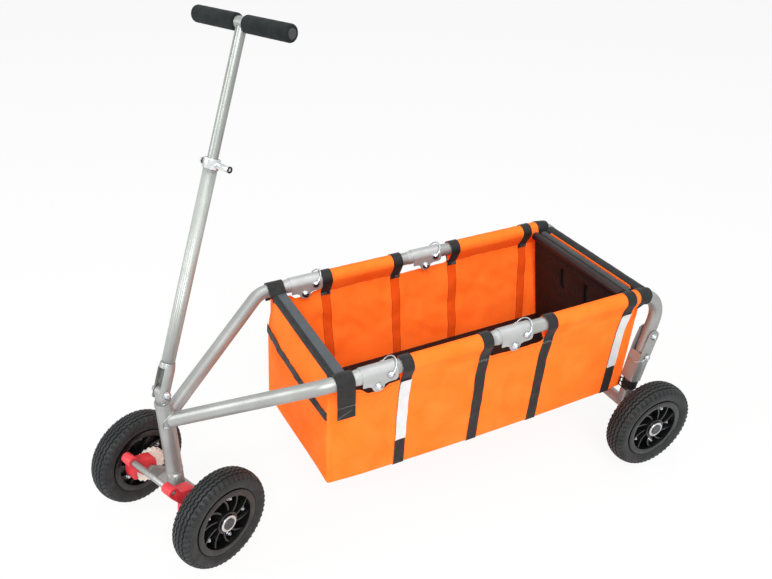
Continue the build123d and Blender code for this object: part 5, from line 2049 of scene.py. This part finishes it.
@dataclass
class Studio:
    """Camera, soft lights, pale floor and white surroundings."""

    sensor_mm: float = 36.0
    focal_px: float = 789.89
    width_px: float = 772.0
    height_px: float = 579.0
    middle_px: tuple[float, float] = (373.80, 287.12)
    spot: Spot = (0.6101, 1.1992, 1.2307)
    azimuth: float = 154.1219
    elevation: float = 30.5535
    roll: float = 0.154
    ambient: float = 0.32
    aim: Spot = (0.0, 0.0, 0.3)
    floor_half: float = 9000.0
    floor_z: float = -0.5
    floor_glow: float = 0.9

    def camera(self) -> None:
        """Camera at the photograph's viewpoint."""
        data = bpy.data.cameras.new("camera")
        data.sensor_width = self.sensor_mm
        data.lens = self.focal_px * self.sensor_mm / self.width_px
        data.shift_x = (self.width_px / 2 - self.middle_px[0]) / self.width_px
        data.shift_y = (self.middle_px[1] - self.height_px / 2) / self.width_px
        data.clip_end = 100.0
        thing = placed("camera", data)
        a, e = radians(self.azimuth), radians(self.elevation)
        back = Vector((sin(a) * cos(e), -cos(a) * cos(e), sin(e)))
        right = Vector((cos(a), sin(a), 0))
        turn = Matrix((right, back.cross(right), back)).transposed() @ Matrix.Rotation(radians(self.roll), 3, "Z")
        thing.matrix_world = Matrix.Translation(self.spot) @ turn.to_4x4()
        bpy.context.scene.camera = thing

    def lamp(self, name: str, spot: Sequence[float], size: float, power: float) -> None:
        """One soft square lamp aimed at the middle of the cart.

        Args:
            name: name of the lamp.
            spot: its place in metres.
            size: its side in metres.
            power: its power in watts.
        """
        data = bpy.data.lights.new(name, "AREA")
        data.shape, data.size, data.energy = "SQUARE", size, power
        thing = placed(name, data)
        thing.location = spot
        thing.rotation_euler = (Vector(self.aim) - Vector(spot)).to_track_quat("-Z", "Y").to_euler()

    def surroundings(self) -> None:
        """White to the camera and in reflections, softer as light."""
        world = bpy.data.worlds.new("studio")
        bpy.context.scene.world = world
        world.use_nodes = True
        tree = world.node_tree
        tree.nodes.clear()
        ray = add(tree, "ShaderNodeLightPath").outputs
        seen = add(tree, "ShaderNodeMath", {0: ray["Is Camera Ray"], 1: ray["Is Glossy Ray"]}, operation="MAXIMUM")
        shown = add(tree, "ShaderNodeMath", {0: seen.outputs[0], 1: ray["Is Transmission Ray"]}, operation="MAXIMUM")
        dim = add(tree, "ShaderNodeBackground", {"Color": (1, 1, 1, 1), "Strength": self.ambient})
        white = add(tree, "ShaderNodeBackground", {"Color": (1, 1, 1, 1), "Strength": 1.0})
        both = add(tree, "ShaderNodeMixShader", {0: shown.outputs[0], 1: dim.outputs[0], 2: white.outputs[0]})
        add(tree, "ShaderNodeOutputWorld", {"Surface": both.outputs[0]})

    def floor(self) -> None:
        """Pale floor, nearly white to the camera, with a faint shadow."""
        material = bpy.data.materials.new("pale_studio_floor")
        material.use_nodes = True
        tree = material.node_tree
        tree.nodes.clear()
        ray = add(tree, "ShaderNodeLightPath")
        matt = add(tree, "ShaderNodeBsdfDiffuse", {"Color": linear("#F4F4F4")})
        glow = add(tree, "ShaderNodeEmission", {"Color": (1, 1, 1, 1), "Strength": 1.0})
        share = add(tree, "ShaderNodeMath", {0: ray.outputs["Is Camera Ray"], 1: self.floor_glow}, operation="MULTIPLY")
        both = add(tree, "ShaderNodeMixShader", {0: share.outputs[0], 1: matt.outputs[0], 2: glow.outputs[0]})
        add(tree, "ShaderNodeOutputMaterial", {"Surface": both.outputs[0]})
        far, low = self.floor_half, self.floor_z
        corners = [(-far, -far, low), (far, -far, low), (far, far, low), (-far, far, low)]
        mesh = mesh_of("floor", corners, [(0, 1, 2, 3)])
        mesh.materials.append(material)
        placed("floor", mesh)

    def build(self) -> None:
        """Set up the studio."""
        bpy.context.scene.view_settings.view_transform = "Standard"
        self.camera()
        self.surroundings()
        self.floor()
        self.lamp("key_lamp", (1.7, 4.8, 4.6), 3.6, 385.0)
        self.lamp("fill_lamp", (4.6, -0.4, 3.0), 3.0, 112.0)
        self.lamp("top_lamp", (-0.6, 0.1, 2.9), 2.0, 22.0)


def main() -> None:
    """Build the cart and its studio."""
    logging.basicConfig(level=logging.INFO, format="%(message)s")
    Studio().build()
    FrameMetal().build()
    DrawbarSet().build()
    BrakeSet().build()
    for name, side, steered in (("front_left", Side.LEFT, True), ("front_right", Side.RIGHT, True),
                                ("rear_left", Side.LEFT, False), ("rear_right", Side.RIGHT, False)):
        Wheel(name, side, steered).build()
    Basket().build()
    LegStraps().build()


if __name__ == "__main__":
    main()
